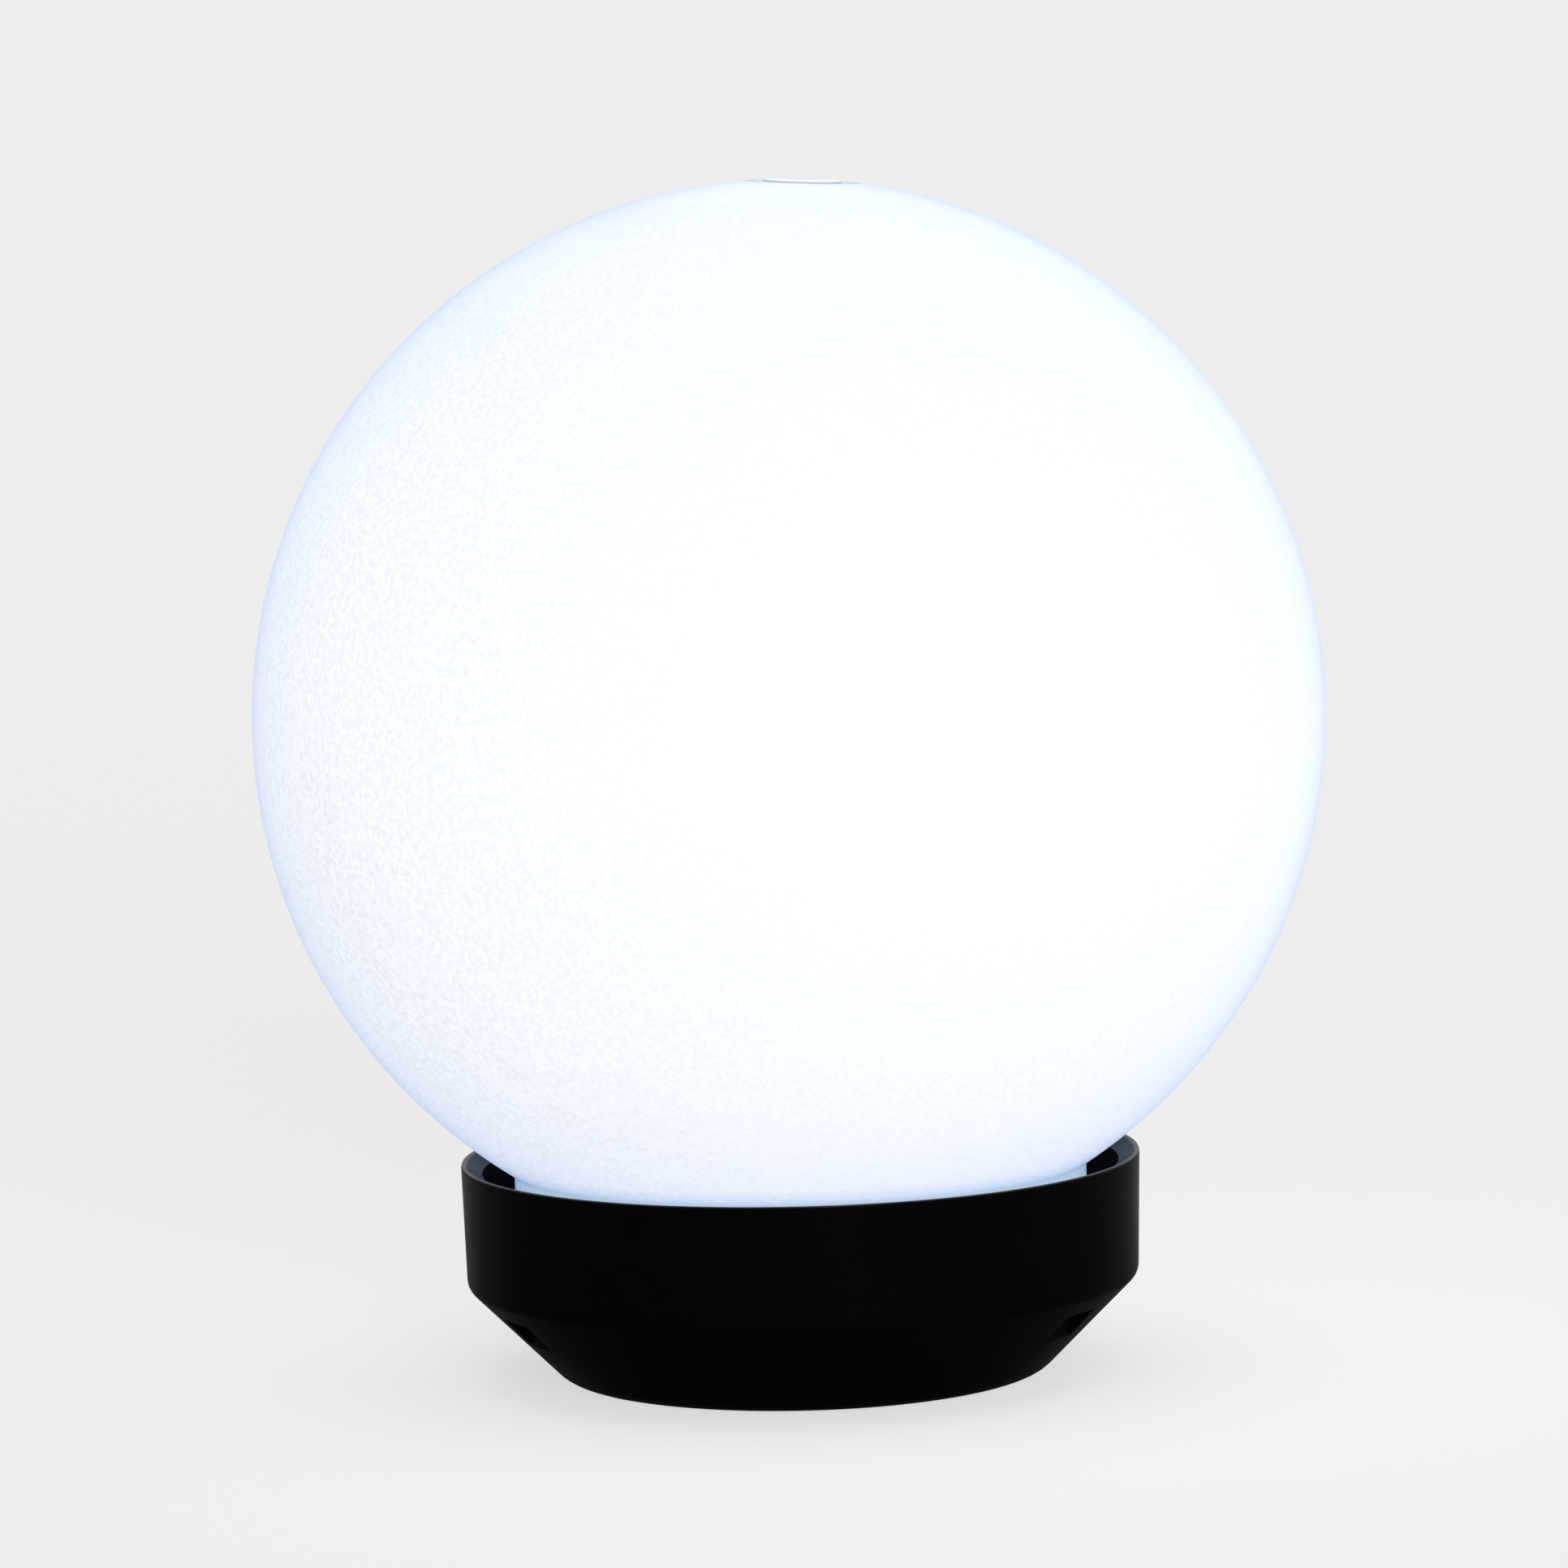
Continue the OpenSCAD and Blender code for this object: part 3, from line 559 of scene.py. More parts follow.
@dataclass(frozen=True)
class OpalGlow(Finish):
    """Opal plastic or glass lit from inside, with a moulded pebble grain.

    Glow is the light that it sends out at each height in metres, from the lowest up; where it is lower
    and bluer near the globe's foot, that is painted shade. Aside is how much more it sends out for each
    metre to the right, low down on the piece, which is painted light; between the heights called low and
    high that falls to its share called upper. A coat with a faint tint takes some of the light that
    leaves at a slant, so the outline is a little darker and bluer than the middle. Where the mesh's own
    attribute called crease is 1, the glow drops by the share called crease, which is painted
    shade in the creases. Pebble is the share by which the grain changes the glow; it runs to
    pebble_left_side_light between the places called right and left, in metres from the middle, and the
    stronger grain on the left is painted side light.
    """

    glow: tuple[tuple[float, Colour], ...] = ((0.0, (0.9, 0.9, 0.9)), (1.0, (0.9, 0.9, 0.9)))
    state: LampState = LampState.LIT
    pebble: float = 0.03
    pebble_left_side_light: float = 0.03
    right: float = 0.02
    left: float = -0.09
    aside: float = 0.0
    low: float = 0.10
    high: float = 0.17
    upper: float = 0.25
    crease: float = 0.65

    def dress(self, graph: Graph) -> None:
        """Adds the glow by height, with the grain, the painted side light and the painted crease shade.

        Args:
            graph: The material's node tree.
        """
        super().dress(graph)
        foot, top = self.glow[0][0], self.glow[-1][0]
        across, _, height = graph.split()
        limits = {"Value": height, "From Min": foot, "From Max": top}
        ramp = graph.node("ShaderNodeValToRGB", {0: graph.node("ShaderNodeMapRange", limits).outputs[0]})
        stops = ramp.color_ramp.elements
        for place, colour in self.glow[1:-1]:
            stops.new((place - foot) / (top - foot)).color = tone(colour)
        stops[0].color, stops[-1].color = tone(self.glow[0][1]), tone(self.glow[-1][1])
        # The grain shows more on the left: painted side light.
        side_lit_pebble = graph.spread(across, self.left, self.right, self.pebble_left_side_light, self.pebble)
        grain = graph.spread(graph.noise(graph.place, self.grain), *GRAIN_SPAN, -1.0, 1.0)
        grain = graph.maths("ADD", graph.maths("MULTIPLY", grain, side_lit_pebble), 1.0)
        # More glow to the right, low down: painted light from the lamp's side.
        slope = graph.spread(height, self.low, self.high, self.aside, self.aside * self.upper)
        lean = graph.maths("ADD", graph.maths("MULTIPLY", across, slope), 1.0)
        # The creases at the crown dim the glow: painted shade.
        marks = graph.node("ShaderNodeAttribute", {}, attribute_name="crease").outputs["Fac"]
        shade_in_creases = graph.maths("SUBTRACT", 1.0, graph.maths("MULTIPLY", marks, self.crease))
        share = graph.maths("MULTIPLY", graph.maths("MULTIPLY", grain, shade_in_creases), lean)
        sent = {0: ramp.outputs[0], "Scale": share}
        scaled = graph.node("ShaderNodeVectorMath", sent, operation="SCALE")
        graph.put(Emission_Color=scaled.outputs[0], Emission_Strength=self.state.value)


@dataclass(frozen=True)
class StripedLead(Finish):
    """The insulation of an earth lead: a yellow stripe that twists slowly round a green one."""

    stripe: Colour = (0.75, 0.6, 0.02)
    twist: float = 25.0
    share: float = 0.42

    def dress(self, graph: Graph) -> None:
        """Lays the stripe by the lead's own UV map: the turn plus twist times the length.

        Args:
            graph: The material's node tree.
        """
        super().dress(graph)
        length, around, _ = graph.split(graph.node("ShaderNodeUVMap", {}).outputs[0])
        turn = graph.maths("ADD", around, graph.maths("MULTIPLY", length, self.twist))
        edge = graph.maths("LESS_THAN", graph.maths("FRACT", turn), self.share)
        graph.put(Base_Color=graph.blend(edge, tone(self.tint), tone(self.stripe)))


@dataclass(frozen=True)
class SleeveAndCoil(Finish):
    """The dark sleeve of a capacitor on one side of a board, and a choke's copper turns on the other.

    Turns is in wires a metre and wire is the height of one, in metres; the copper's tone runs from
    gap_shade between two wires to crest_highlight on top of one, which is painted shade in the gaps and
    a painted highlight on the crests.
    """

    copper: Colour = (0.45, 0.16, 0.06)
    turns: float = 1400.0
    wire: float = 0.0001
    gap_shade: float = 0.5
    crest_highlight: float = 1.2

    def dress(self, graph: Graph) -> None:
        """Chooses by the side of the board (object Y), and draws the turns as waves of the height.

        Args:
            graph: The material's node tree.
        """
        super().dress(graph)
        _, depth, height = graph.split()
        wave = graph.maths("SINE", graph.maths("MULTIPLY", height, self.turns * FULL_TURN))
        turn = graph.spread(wave, -1.0, 1.0, 0.0, 1.0)
        wound = graph.maths("LESS_THAN", depth, 0.0)
        # Darker gaps and lighter crests of the turns: painted shade and painted highlight.
        coil = graph.blend(turn, tone(self.copper, self.gap_shade), tone(self.copper, self.crest_highlight))
        graph.put(Base_Color=graph.blend(wound, tone(self.tint), coil))
        graph.bump(graph.maths("MULTIPLY", turn, wound), self.wire)


@dataclass(frozen=True)
class CircuitBoard(Finish):
    """A board under its lacquer: straight tracks as a lighter tone, a little proud.

    Track is in tracks a metre, either way. The upright ones show near the middles of patches, within
    the share called middle of their size, and the level ones in between; patches is in patches a metre.
    The tone runs from ground to copper where a track's wave rises through the span called edge.
    """

    track: float = 380.0
    patches: float = 160.0
    middle: float = 0.45
    edge: tuple[float, float] = (0.1, 0.4)
    ground: float = 0.85
    copper: float = 1.25

    def dress(self, graph: Graph) -> None:
        """Draws the tracks as waves of x near the middles of the patches and of z between them.

        Args:
            graph: The material's node tree.
        """
        super().dress(graph)
        across, _, height = graph.split()
        upright, level = (graph.maths("SINE", graph.maths("MULTIPLY", along, self.track * FULL_TURN))
                          for along in (across, height))
        outer = graph.maths("GREATER_THAN", graph.cells(graph.place, self.patches), self.middle)
        line = graph.node("ShaderNodeMix", {0: outer, 2: upright, 3: level}).outputs[0]
        share = graph.spread(line, *self.edge, 0.0, 1.0)
        ground, copper = tone(self.tint, self.ground), tone(self.tint, self.copper)
        graph.put(Base_Color=graph.blend(share, ground, copper))
        graph.bump(share, self.depth)


# The globe's glow by height is partly painted: the darker, bluer stops at the foot are painted shade from
# the collar round it, the rise and fall up the sphere are painted light and shade of the lamps, and the
# brightest stop, on the gate pad's top, is a painted highlight. Aside paints more light on the right
# side, and the stronger grain on the left is painted side light.
OPAL_GLOBE = OpalGlow(
    "opal_globe", (0.20, 0.20, 0.20), 0.5, ior=1.12, grain=900.0, depth=0.00006, drift=0.02, coat=1.0,
    coat_ior=1.005, coat_tint=(0.951, 0.963, 0.986), aside=0.45, pebble=0.028, pebble_left_side_light=0.07,
    glow=((0.0395, (0.47, 0.58, 0.72)), (0.0410, (0.66, 0.76, 0.89)), (0.0430, (0.84, 0.875, 0.95)),
          (0.0500, (0.866, 0.89, 0.95)), (0.0720, (0.90, 0.92, 0.955)), (0.1200, (0.935, 0.945, 0.97)),
          (0.2000, (0.88, 0.91, 0.96)), (0.2190, (0.90, 0.925, 0.965)), (0.2235, (0.98, 0.99, 1.0))))
OPAL_BULB = OpalGlow(
    "opal_bulb", (0.80, 0.80, 0.78), 0.4, grain=2500.0, depth=0.00001, drift=0.02,
    glow=((0.104, (0.70, 0.70, 0.66)), (0.114, (0.9, 0.9, 0.84)), (0.149, (0.9, 0.9, 0.84))))
LED_PHOSPHOR = OpalGlow("led_phosphor", (0.80, 0.55, 0.08), 0.5, grain=4000.0,
                        glow=((0.1, (0.95, 0.80, 0.35)), (0.11, (0.95, 0.80, 0.35))))
BLACK_MOULDING = RimmedMoulding(
    "black_moulding", (0.0023, 0.0023, 0.0026), 0.38, ior=1.035, grain=2500.0, depth=0.000012, drift=0.12,
    patch=40.0, coat_ior=1.4, coat_roughness=0.2, sheen=0.008, sheen_tint=(0.1, 0.6, 1.0),
    above=0.03905, within=0.06255, lip=0.0408)
FOAM = ClosedFoam("foam", (0.022, 0.022, 0.023))
RUBBER = Finish("rubber", (0.028, 0.028, 0.030), 0.72, ior=1.5, grain=3000.0, depth=0.00002, drift=0.15)
GREY_NYLON = Finish("grey_nylon", (0.30, 0.31, 0.32), 0.48, grain=3200.0, depth=0.00001)
WHITE_NYLON = Finish("white_nylon", (0.74, 0.73, 0.69), 0.42, grain=2600.0, depth=0.00001, drift=0.04)
BLACK_PHENOLIC = Finish("black_phenolic", (0.012, 0.011, 0.011), 0.3, ior=1.55, grain=1800.0,
                        depth=0.000006, drift=0.25, patch=200.0)
GLAZED_CERAMIC = Finish("glazed_ceramic", (0.78, 0.76, 0.71), 0.2, ior=1.55, grain=350.0, depth=0.00003,
                        drift=0.03, coat=0.6)
WHITE_HOUSING = Finish("white_housing", (0.80, 0.80, 0.78), 0.34, grain=1600.0, depth=0.000008,
                       drift=0.02)
ZINC = PlatedSteel("zinc_plate", (0.62, 0.63, 0.65), stretch=(1.0, 14.0, 1.0), depth=0.000004)
SCREW_STEEL = PlatedSteel("screw_steel", (0.66, 0.66, 0.66), roughness=0.3, grain=5000.0, depth=0.000004)
BRASS = Finish("brass", (0.72, 0.50, 0.20), 0.3, metal=1.0, stretch=(1.0, 10.0, 1.0), depth=0.000004,
               drift=0.12)
NICKEL = TurnedMetal("nickel", (0.66, 0.64, 0.60), depth=0.000005)
SOLDER = Finish("solder", (0.55, 0.55, 0.54), 0.34, metal=1.0, grain=1200.0, depth=0.00003, drift=0.12)
BLACK_GLASS = Finish("black_glass", (0.006, 0.006, 0.007), 0.12, ior=1.52, grain=500.0, depth=0.00002,
                     drift=0.2)
WHITE_BOARD = CircuitBoard("white_board", (0.76, 0.77, 0.75), 0.3, depth=0.00003)
GREEN_BOARD = CircuitBoard("green_board", (0.02, 0.16, 0.05), 0.28, depth=0.00003)
DRIVER_PARTS = SleeveAndCoil("driver_parts", (0.018, 0.018, 0.022), 0.3, coat=0.4, grain=900.0,
                             depth=0.00001, drift=0.2)
BROWN_LEAD = Finish("brown_lead", (0.10, 0.035, 0.012), 0.4, grain=1500.0, depth=0.00001)
BLUE_LEAD = Finish("blue_lead", (0.02, 0.12, 0.42), 0.4, grain=1500.0, depth=0.00001)
EARTH_LEAD = StripedLead("earth_lead", (0.03, 0.28, 0.05), 0.4, grain=1500.0, depth=0.00001)


# Pieces


class SubAssembly:
    """A group of pieces that is built and dressed together."""

    def __init__(self, nodes: dict[str, bpy.types.Object]) -> None:
        """Keeps the CAD nodes, by name."""
        self.nodes = nodes

    def dress(self, piece: bpy.types.Object, finish: Finish) -> None:
        """Puts a finish on a piece.

        Args:
            piece: The object, a CAD node or a new one.
            finish: The finish, which fills every material slot that the object has.
        """
        material = finish.material()
        if not piece.material_slots:
            piece.data.materials.append(material)
        for slot in piece.material_slots:
            slot.material = material
        log.info("%s: %s, %d faces", piece.name, finish.name, len(piece.data.polygons))

    def finish_nodes(self, finishes: dict[str, Finish]) -> None:
        """Dresses CAD nodes that keep their shape."""
        for name, finish in finishes.items():
            self.dress(self.nodes[name], finish)

    def stand_in(self, piece: bpy.types.Object, finish: Finish, body: str, slot: str,
                 *nodes: str) -> None:
        """Dresses a new piece and lets it stand for CAD nodes.

        Args:
            piece: The new object.
            finish: Its finish.
            body: The CAD body that it rides on.
            slot: The record's material slot; not used.
            *nodes: The CAD nodes that it replaces.
        """
        self.dress(piece, finish)
        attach(piece, body)
        if nodes:
            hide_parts(*nodes)


@dataclass
class Globe:
    """The opal globe: a sphere with a flat and a gate pad on its crown, a neck and three lugs.

    The crown leans by the angle called lean, in full above the share lean_top of the radius and not at
    all under the share lean_foot. Fold rounds the corner between sphere and neck.
    """

    works: SubAssembly
    radius: float = 100.0
    wall: float = 2.2
    neck_r: float = 53.6
    neck_z: float = 21.1
    centre_z: float = 123.62
    flat_d: float = 21.0
    flat_round: float = 0.6
    pad_d: float = 14.4
    pad_h: float = 0.5
    pad_draft: float = 0.1
    pad_foot: float = 0.12
    pad_edge: float = 0.18
    lean: float = 2.9
    lean_foot: float = 0.5
    lean_top: float = 0.95
    fold: float = 1.4
    neck_edge: float = 0.5
    edge_crease: float = 0.7
    lug_w: float = 10.0
    lug_h: float = 3.0
    lug_out: float = 4.7
    lug_z: float = 24.1
    lug_sink: float = 0.6
    lug_edge: float = 0.5
    lug_edge_steps: int = 2
    lug_steps: int = 12
    lug_angles: tuple[float, ...] = (-28.0, 90.0, -152.0)
    inner_steps: int = 70
    outer_steps: int = 130
    segments: int = 256

    def outline(self) -> np.ndarray:
        """The wall's outline, down the inside and up the outside.

        Returns:
            An array of (r, z) points, with the outline's corners rounded. One point stands close beside
            the flat's edge (by an angle) and one beside the pad's foot, so that the painted crease shade
            stays narrow.
        """
        beside_edge, beside_pad = 0.005, 0.8
        inside_r = self.radius - self.wall
        neck_in = self.neck_r - self.wall
        foot = -math.acos(self.neck_r / self.radius)
        crown = math.acos(self.flat_d / 2 / self.radius)
        flat_z = self.centre_z + self.radius * math.sin(crown)
        top_z, pad_r = flat_z + self.pad_h, self.pad_d / 2
        inner_foot = -math.acos(neck_in / inside_r)
        inside = arc(inside_r, self.centre_z, math.pi / 2, inner_foot, self.inner_steps)
        inside[0, 0] = 0.0
        outside = arc(self.radius, self.centre_z, foot, crown - beside_edge, self.outer_steps)
        corners = [(r, z, 0.0) for r, z in inside]
        corners += [(neck_in, self.neck_z, self.neck_edge), (self.neck_r, self.neck_z, self.neck_edge)]
        corners += [(*outside[0], self.fold)] + [(r, z, 0.0) for r, z in outside[1:]]
        corners += [(self.flat_d / 2, flat_z, self.flat_round), (pad_r + beside_pad, flat_z, 0.0)]
        corners += [(pad_r, flat_z, self.pad_foot), (pad_r - self.pad_draft, top_z, self.pad_edge)]
        return fillet(corners + [(0.0, top_z, 0.0)])

    def shell(self) -> bpy.types.Object:
        """Makes the shell, with its crown leaning to one side and painted shade in the creases of the
        crown.

        A point at the share h of the radius above the centre turns about the centre, towards +X, by the
        lean times a smooth step of h from lean_foot to lean_top; so the sphere stays a sphere. The
        crease attribute is 1 at the foot of the pad and edge_crease at the edge of the flat; the
        material paints shade into the glow there.

        Returns:
            The new object.
        """
        piece = revolve("globe", self.outline(), self.segments)
        points = np.zeros(len(piece.data.vertices) * 3)
        piece.data.vertices.foreach_get("co", points)
        x, y, z = points.reshape(-1, 3).T / MM
        out, flat_z = np.hypot(x, y), self.centre_z + math.sqrt(self.radius**2 - self.flat_d**2 / 4)
        # Where the crown's creases get painted shade in the glow.
        by_pad, under_pad, over_pad, by_edge, under_edge = 0.3, 0.1, 0.3, 0.2, 0.02
        foot = (abs(out - self.pad_d / 2) < by_pad) & (z > flat_z - under_pad) & (z < flat_z + over_pad)
        edge = (abs(out - self.flat_d / 2) < by_edge) & (z > flat_z - under_edge)
        layer = piece.data.attributes.new("crease", "FLOAT", "POINT")
        layer.data.foreach_set("value", (foot + self.edge_crease * edge).astype(np.float32))
        height, full = (z - self.centre_z) / self.radius, self.lean_top - self.lean_foot
        share = np.clip((height - self.lean_foot) / full, 0, 1)
        turn = math.radians(self.lean) * share**2 * (3 - 2 * share)
        above = z - self.centre_z
        moved = np.stack([x * np.cos(turn) + above * np.sin(turn), y,
                          self.centre_z + above * np.cos(turn) - x * np.sin(turn)], -1)
        piece.data.vertices.foreach_set("co", (moved * MM).ravel())
        piece.data.update()
        return piece

    def lugs(self) -> bpy.types.Object:
        """Makes the lugs: at each y from -width / 2 to width / 2, a rectangle from the neck's wall out
        to the circle of the lugs' radius, sqrt(R * R - y * y) from the middle.

        Returns:
            The new object, with all the lugs.
        """
        across = np.linspace(-self.lug_w / 2, self.lug_w / 2, self.lug_steps)
        near = np.sqrt((self.neck_r - self.lug_sink) ** 2 - across**2)
        far = np.sqrt((self.neck_r + self.lug_out) ** 2 - across**2)
        low = np.full(self.lug_steps, self.lug_z)
        high = low + self.lug_h
        rows = [np.column_stack(edge) for edge in
                ((near, across, low), (near, across, high), (far, across, high), (far, across, low))]
        block = np.stack(rows, 1).reshape(-1, 3)
        index = np.arange(len(block)).reshape(self.lug_steps, -1)
        faces = grid_faces(index) + [index[0].tolist(), index[-1, ::-1].tolist()]
        points, all_faces = [], []
        for number, degrees in enumerate(self.lug_angles):
            a = math.radians(degrees)
            turn = np.array([[math.cos(a), math.sin(a), 0], [-math.sin(a), math.cos(a), 0], [0, 0, 1]])
            points.append(block @ turn)
            all_faces += [[corner + number * len(block) for corner in face] for face in faces]
        piece = mesh_object("globe_lugs", np.vstack(points), all_faces)
        edge = piece.modifiers.new("edge", "BEVEL")
        edge.width, edge.segments, edge.limit_method = self.lug_edge * MM, self.lug_edge_steps, "ANGLE"
        return piece

    def build(self) -> None:
        """Makes the globe and its lugs, which ride on the turning body."""
        self.works.stand_in(self.shell(), OPAL_GLOBE, "globe", "globe", "globe_shell")
        self.works.stand_in(self.lugs(), OPAL_GLOBE, "globe", "globe")


@dataclass
class Base:
    """The black base with its seals, cable entry and cord grip."""

    works: SubAssembly

    def build(self) -> None:
        """Dresses the base's nodes."""
        self.works.finish_nodes({
            "base_housing": BLACK_MOULDING, "base_gasket": FOAM, "neck_gasket": RUBBER,
            "cable_grommet": RUBBER, "cord_grip": GREY_NYLON, "cord_grip_screws": SCREW_STEEL})


@dataclass
class Terminals:
    """The terminal block where the supply cable meets the leads."""

    works: SubAssembly

    def build(self) -> None:
        """Dresses the block, its inserts and its screws."""
        self.works.finish_nodes({
            "terminal_block": WHITE_NYLON, "terminal_inserts": BRASS, "terminal_screws": SCREW_STEEL,
            "terminal_block_screw": SCREW_STEEL})


@dataclass
class Lampholder:
    """The lampholder on its bracket, with the earth connection."""

    works: SubAssembly

    def build(self) -> None:
        """Dresses the bracket, the holder and its contacts."""
        self.works.finish_nodes({
            "holder_bracket": ZINC, "bracket_screws": SCREW_STEEL, "holder_nipple": NICKEL,
            "nipple_nut": SCREW_STEEL, "holder_cap": BLACK_PHENOLIC, "holder_insert": GLAZED_CERAMIC,
            "holder_terminals": BRASS, "holder_terminal_screws": SCREW_STEEL,
            "holder_sleeve": BLACK_PHENOLIC, "side_contact": BRASS, "contact_spring": BRASS,
            "contact_button": SOLDER, "earth_tab": ZINC, "earth_screw": SCREW_STEEL,
            "earth_nut": SCREW_STEEL})


@dataclass
class Lamp:
    """The screw-in lamp: bulb, housing, cap, boards and the light sources."""

    works: SubAssembly
    bulb_r: float = 30.0
    bulb_z: float = 118.15
    bulb_wall: float = 1.2
    bulb_foot: float = 106.25
    steps: int = 60
    segments: int = 160

    def bulb(self) -> bpy.types.Object:
        """Makes the bulb: a shell of a sphere that ends at its foot, where it sits on the housing.

        Returns:
            The new object.
        """
        drop, inside_r = self.bulb_z - self.bulb_foot, self.bulb_r - self.bulb_wall
        inside = arc(inside_r, self.bulb_z, math.pi / 2, -math.asin(drop / inside_r), self.steps)
        outside = arc(self.bulb_r, self.bulb_z, -math.asin(drop / self.bulb_r), math.pi / 2, self.steps)
        inside[0, 0] = outside[-1, 0] = 0.0
        return revolve("bulb", np.vstack([inside, outside]), self.segments)

    def build(self) -> None:
        """Makes the bulb and dresses the lamp's nodes."""
        self.works.stand_in(self.bulb(), OPAL_BULB, "bulb", "bulb", "bulb_envelope")
        self.works.finish_nodes({
            "bulb_housing": WHITE_HOUSING, "bulb_cap": NICKEL, "bulb_insulator": BLACK_GLASS,
            "bulb_tip": SOLDER, "led_board": WHITE_BOARD, "led_chips": LED_PHOSPHOR,
            "driver_board": GREEN_BOARD, "driver_parts": DRIVER_PARTS})


@dataclass
class Leads:
    """The leads from the terminal block to the lampholder and to the bracket, as smooth tubes.

    The routes are the ones of the CAD part, point by point.
    """

    works: SubAssembly
    radius: float = 1.1
    sides: int = 24
    live: Route = ((-11, 19, 10), (-11, 14, 10), (-10.6, 11.5, 9.2), (-8.4, 7.5, 7), (-5.4, 4, 5.6),
                   (-2.4, 1.2, 6), (-1.5, 0, 8.6), (-1.5, 0, 14), (-1.5, 0, 20.8), (-3.4, 0.7, 22.5),
                   (-7.6, 2, 23.1), (-9, 2, 25.6), (-9, 2, 28.7))
    neutral: Route = ((0, 19, 10), (0, 14, 10), (0.3, 11.5, 9.2), (0.9, 7.5, 7), (1.5, 4, 5.8),
                      (1.7, 1.2, 6.4), (1.5, 0, 8.8), (1.5, 0, 14), (1.5, 0, 20.8), (3.4, 0.7, 22.5),
                      (7.6, 2, 23.1), (9, 2, 25.6), (9, 2, 28.7))
    earth: Route = ((11, 19, 10), (11, 14, 10), (12.8, 12.4, 10.8), (16.4, 11.9, 13.6), (19.6, 12, 16.6),
                    (21.5, 11.4, 18.2), (22, 10, 18.3), (22, 8, 18.3))

    def build(self) -> None:
        """Carries a round lead along each route, in place of the CAD's."""
        for name, route, aside, finish, slot in (
                ("live", self.live, (1, 1, 0), BROWN_LEAD, "lead_brown"),
                ("neutral", self.neutral, (-1, 1, 0), BLUE_LEAD, "lead_blue"),
                ("earth", self.earth, (-0.6, 0, 0.8), EARTH_LEAD, "lead_green")):
            piece = tube(f"{name}_tube", smooth_path(route), self.radius, self.sides, aside)
            self.works.stand_in(piece, finish, "base", slot, f"lead_{name}")


# Setting


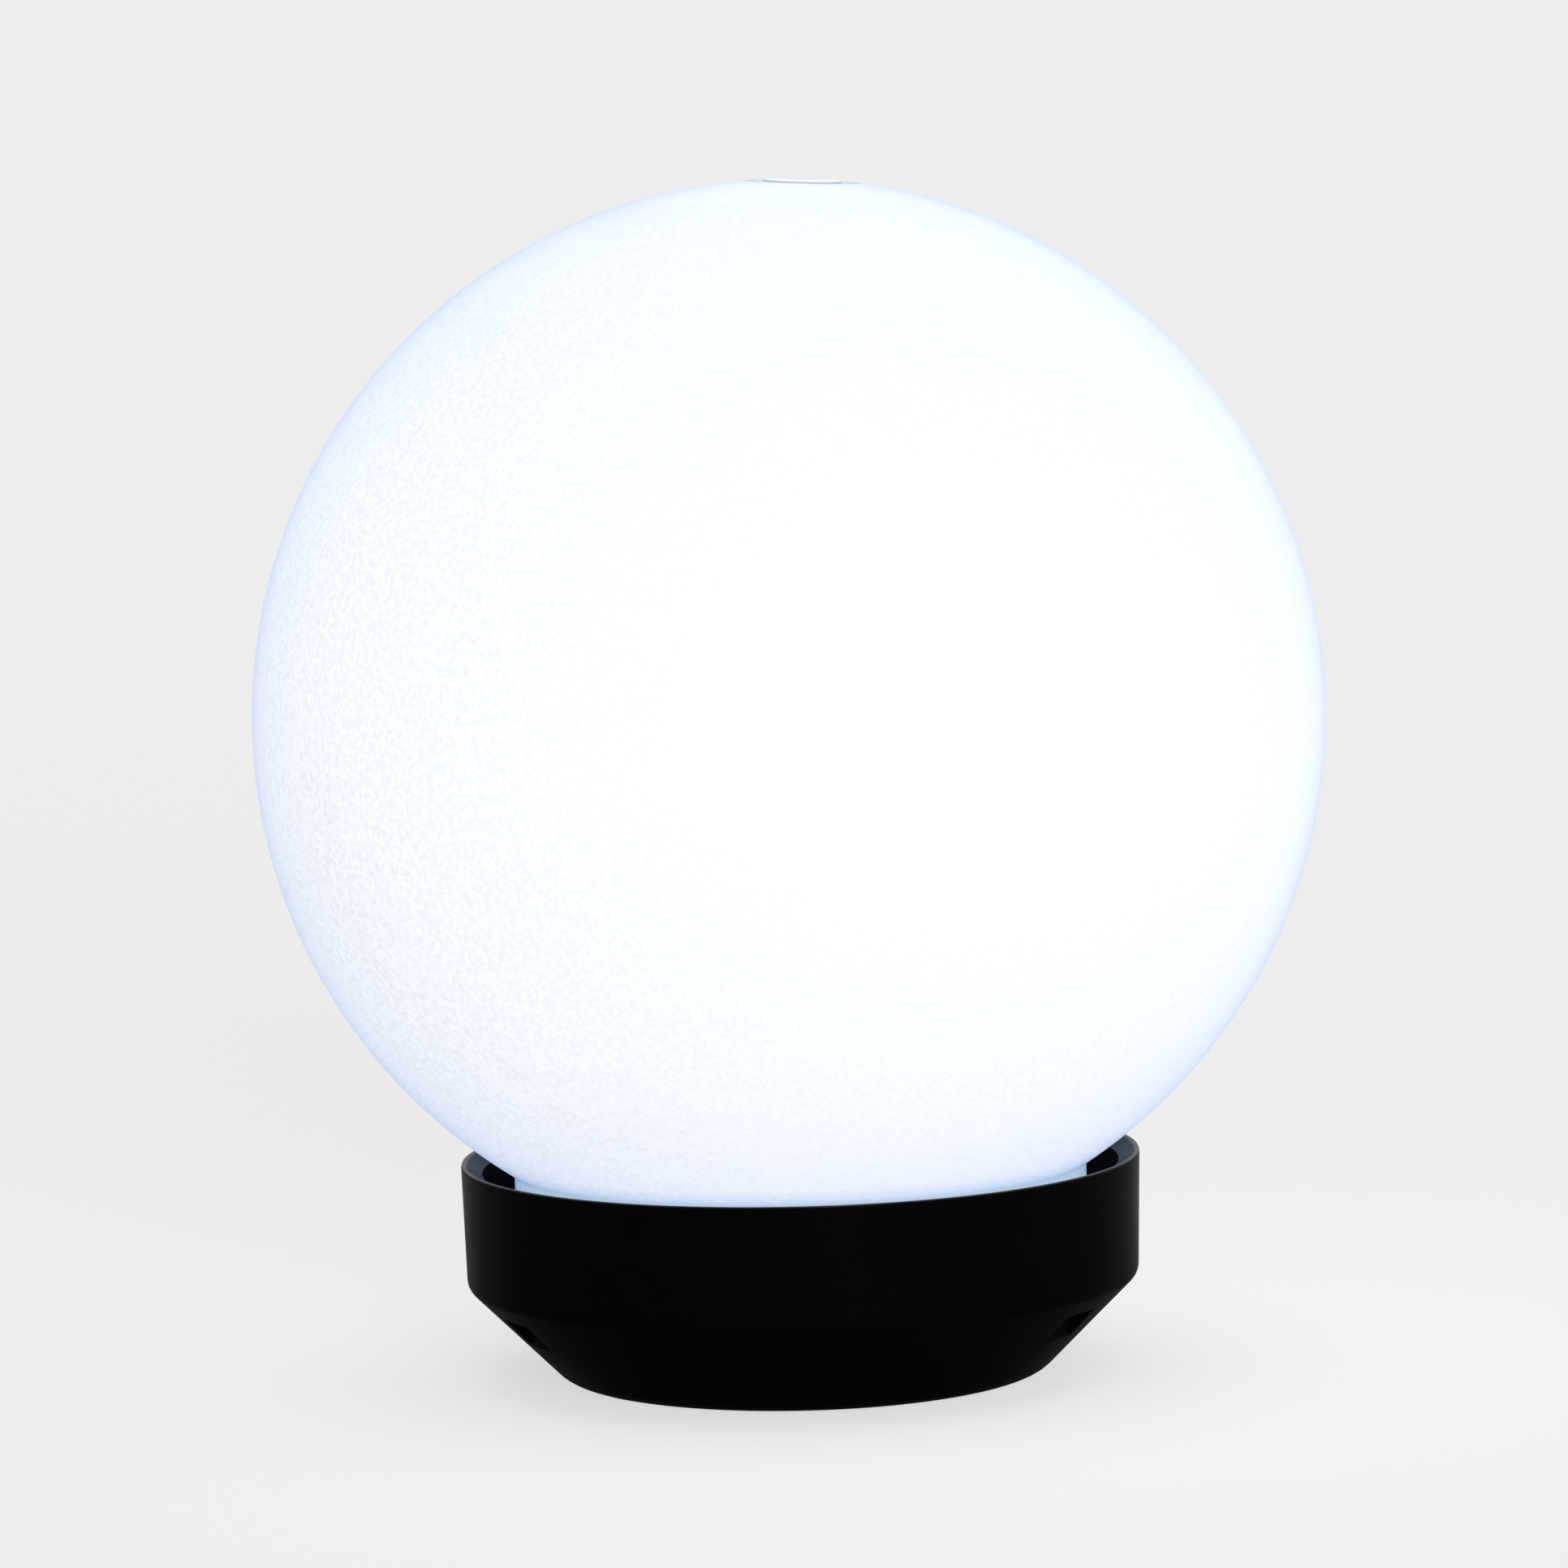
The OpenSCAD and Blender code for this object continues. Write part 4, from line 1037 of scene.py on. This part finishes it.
@dataclass
class Studio:
    """A pale floor and sweep of light, with one broad lamp in front and a little to the right.

    Pale is the brightness of the open floor and of the backdrop as they are seen. A gloss shows the
    share shadowed_floor_gloss of the floor's glow within near of the object, and all of it from far on,
    in metres; the smaller share near the object is a painted shadow of the object in the floor's
    reflections. The world's light is soft * (ambient + to_right * x + to_top * z) for the direction
    (x, y, z) that it comes from. A gloss shows the backdrop brighter by glint_right on the right and by
    glint_top above, in full where x or z is glint_full or more. Speck is the paper's grain, in features
    a metre.
    """

    pale: float = 0.84
    floor_side: float = 120.0
    floor_tint: float = 0.38
    floor_glow: float = 0.635
    shadowed_floor_gloss: float = 0.2
    near: float = 0.08
    far: float = 0.22
    glint_right: float = 0.5
    glint_top: float = 0.6
    glint_full: float = 0.3
    soft: float = 0.8
    ambient: float = 0.30
    to_right: float = 0.30
    to_top: float = 0.45
    key: float = 0.55
    key_azimuth: float = 14.5
    key_height: float = 8.0
    key_width: float = 30.0
    key_distance: float = 2.0
    speck: float = 300.0
    speck_share: float = 0.005

    def floor(self) -> None:
        """Lays the floor.

        Its own tint takes light and shadow, and a glow that only the eye and reflections see brings it up
        to the backdrop's brightness.
        """
        half = self.floor_side / 2 / MM
        corners = np.array([[-half, -half, 0], [half, -half, 0], [half, half, 0], [-half, half, 0]])
        floor = mesh_object("floor", corners, [[0, 1, 2, 3]])
        graph = Graph("floor_paper")
        speck = graph.spread(graph.noise(graph.place, self.speck), *GRAIN_SPAN, 0.0, 1.0)
        tint = (self.floor_tint,) * 3
        darker, lighter = tone(tint, 1 - self.speck_share), tone(tint, 1 + self.speck_share)
        away = graph.split(graph.turned())[0]
        # Reflections show less of the floor's glow near the object: a painted shadow.
        gloss = graph.spread(away, self.near, self.far, self.shadowed_floor_gloss, 1.0)
        graph.put(Base_Color=graph.blend(speck, darker, lighter), Roughness=1.0, Specular_IOR_Level=0.0,
                  Emission_Color=tone((self.floor_glow,) * 3), Emission_Strength=graph.seen(gloss))
        floor.data.materials.append(graph.material)

    def world(self) -> None:
        """Makes the surroundings: a plain pale brightness where they are seen, and the soft light.

        For a gloss, the pale is times 1 + glint_right * s(x) + glint_top * s(z), where s rises smoothly
        from 0 at 0 to 1 at glint_full.
        """
        world = bpy.data.worlds.new("studio")
        bpy.context.scene.world = world
        world.use_nodes = True
        tree = Tree(world.node_tree)
        x, _, z = tree.node("ShaderNodeSeparateXYZ", {
            0: tree.node("ShaderNodeTexCoord", {}).outputs["Generated"]}).outputs
        fall = tree.maths("ADD", tree.maths("MULTIPLY", x, self.to_right), self.ambient)
        fall = tree.maths("ADD", tree.maths("MULTIPLY", z, self.to_top), fall)
        glint = tree.maths("ADD", tree.spread(x, 0.0, self.glint_full, 0.0, self.glint_right),
                           tree.spread(z, 0.0, self.glint_full, 0.0, self.glint_top))
        glossy = tree.node("ShaderNodeLightPath", {}).outputs["Is Glossy Ray"]
        bright = tree.maths("ADD", tree.maths("MULTIPLY", glint, glossy), 1.0)
        light, shown = (
            tree.node("ShaderNodeBackground", {"Color": tone((level,) * 3), "Strength": strength})
            for level, strength in ((self.soft, fall), (self.pale, bright)))
        mix = tree.node("ShaderNodeMixShader", {0: tree.seen(), 1: light.outputs[0], 2: shown.outputs[0]})
        tree.node("ShaderNodeOutputWorld", {"Surface": mix.outputs[0]})

    def lamps(self) -> None:
        """Hangs the broad front lamp, as a sun so that its light is even over the floor."""
        data = bpy.data.lights.new("front_light", "SUN")
        data.energy = self.key * math.pi
        data.angle = math.radians(self.key_width)
        lamp = bpy.data.objects.new("front_light", data)
        bpy.context.scene.collection.objects.link(lamp)
        azimuth, height = math.radians(self.key_azimuth), math.radians(self.key_height)
        towards = Vector((math.sin(azimuth) * math.cos(height), -math.cos(azimuth) * math.cos(height),
                          math.sin(height)))
        lamp.rotation_mode = "QUATERNION"
        lamp.rotation_quaternion = towards.to_track_quat("Z", "Y")
        lamp.location = towards * self.key_distance

    def build(self) -> None:
        """Sets up the floor, the world and the lamp, and the plain view transform."""
        self.floor()
        self.world()
        self.lamps()
        bpy.context.scene.view_settings.view_transform = "Standard"


@dataclass
class PhotoCamera:
    """The camera: it stands off the globe's centre, a little to the right, and looks slightly down.

    The globe's middle and its radius in the frame's pixels give the aim and the focal length.
    """

    distance: float = 1.5
    azimuth: float = 2.5
    height_angle: float = 5.47
    roll: float = -1.46
    target_z: float = 0.12362
    globe_radius: float = 0.1
    frame_side: float = 1932.0
    globe_px: float = 662.0
    globe_x: float = 972.1
    globe_y: float = 882.05
    sensor: float = 36.0
    nearest: float = 0.01
    farthest: float = 200.0

    def build(self) -> None:
        """Places the camera and makes it the scene's."""
        azimuth, rise = math.radians(self.azimuth), math.radians(self.height_angle)
        roll = math.radians(self.roll)
        right = Vector((math.cos(azimuth), math.sin(azimuth), 0))
        back = Vector((right.y, -right.x, math.tan(rise))).normalized()
        focal_px = self.globe_px / math.tan(math.asin(self.globe_radius / self.distance))
        up = right.cross(-back)
        side = right * math.cos(roll) + up * math.sin(roll)
        top = up * math.cos(roll) - right * math.sin(roll)
        across = (self.globe_x - self.frame_side / 2) / focal_px
        down = (self.globe_y - self.frame_side / 2) / focal_px
        ahead = (-back - side * across + top * down).normalized()
        side = (side - ahead * side.dot(ahead)).normalized()
        top = side.cross(ahead)
        data = bpy.data.cameras.new("camera")
        data.sensor_width = self.sensor
        data.lens = focal_px * self.sensor / self.frame_side
        data.clip_start, data.clip_end = self.nearest, self.farthest
        camera = bpy.data.objects.new("camera", data)
        bpy.context.scene.collection.objects.link(camera)
        place = Matrix.Translation(back * self.distance + Vector((0, 0, self.target_z)))
        camera.matrix_world = place @ Matrix((side, top, -ahead)).transposed().to_4x4()
        bpy.context.scene.camera = camera


def main() -> None:
    """Loads the frame, builds and dresses the post light, and sets the studio and the camera."""
    logging.basicConfig(level=logging.INFO, format="%(name)s: %(message)s")
    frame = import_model()
    works = SubAssembly(frame["nodes"])
    for group in (Globe, Base, Terminals, Lampholder, Lamp, Leads):
        group(works).build()
    Studio().build()
    PhotoCamera().build()


if __name__ == "__main__":
    main()
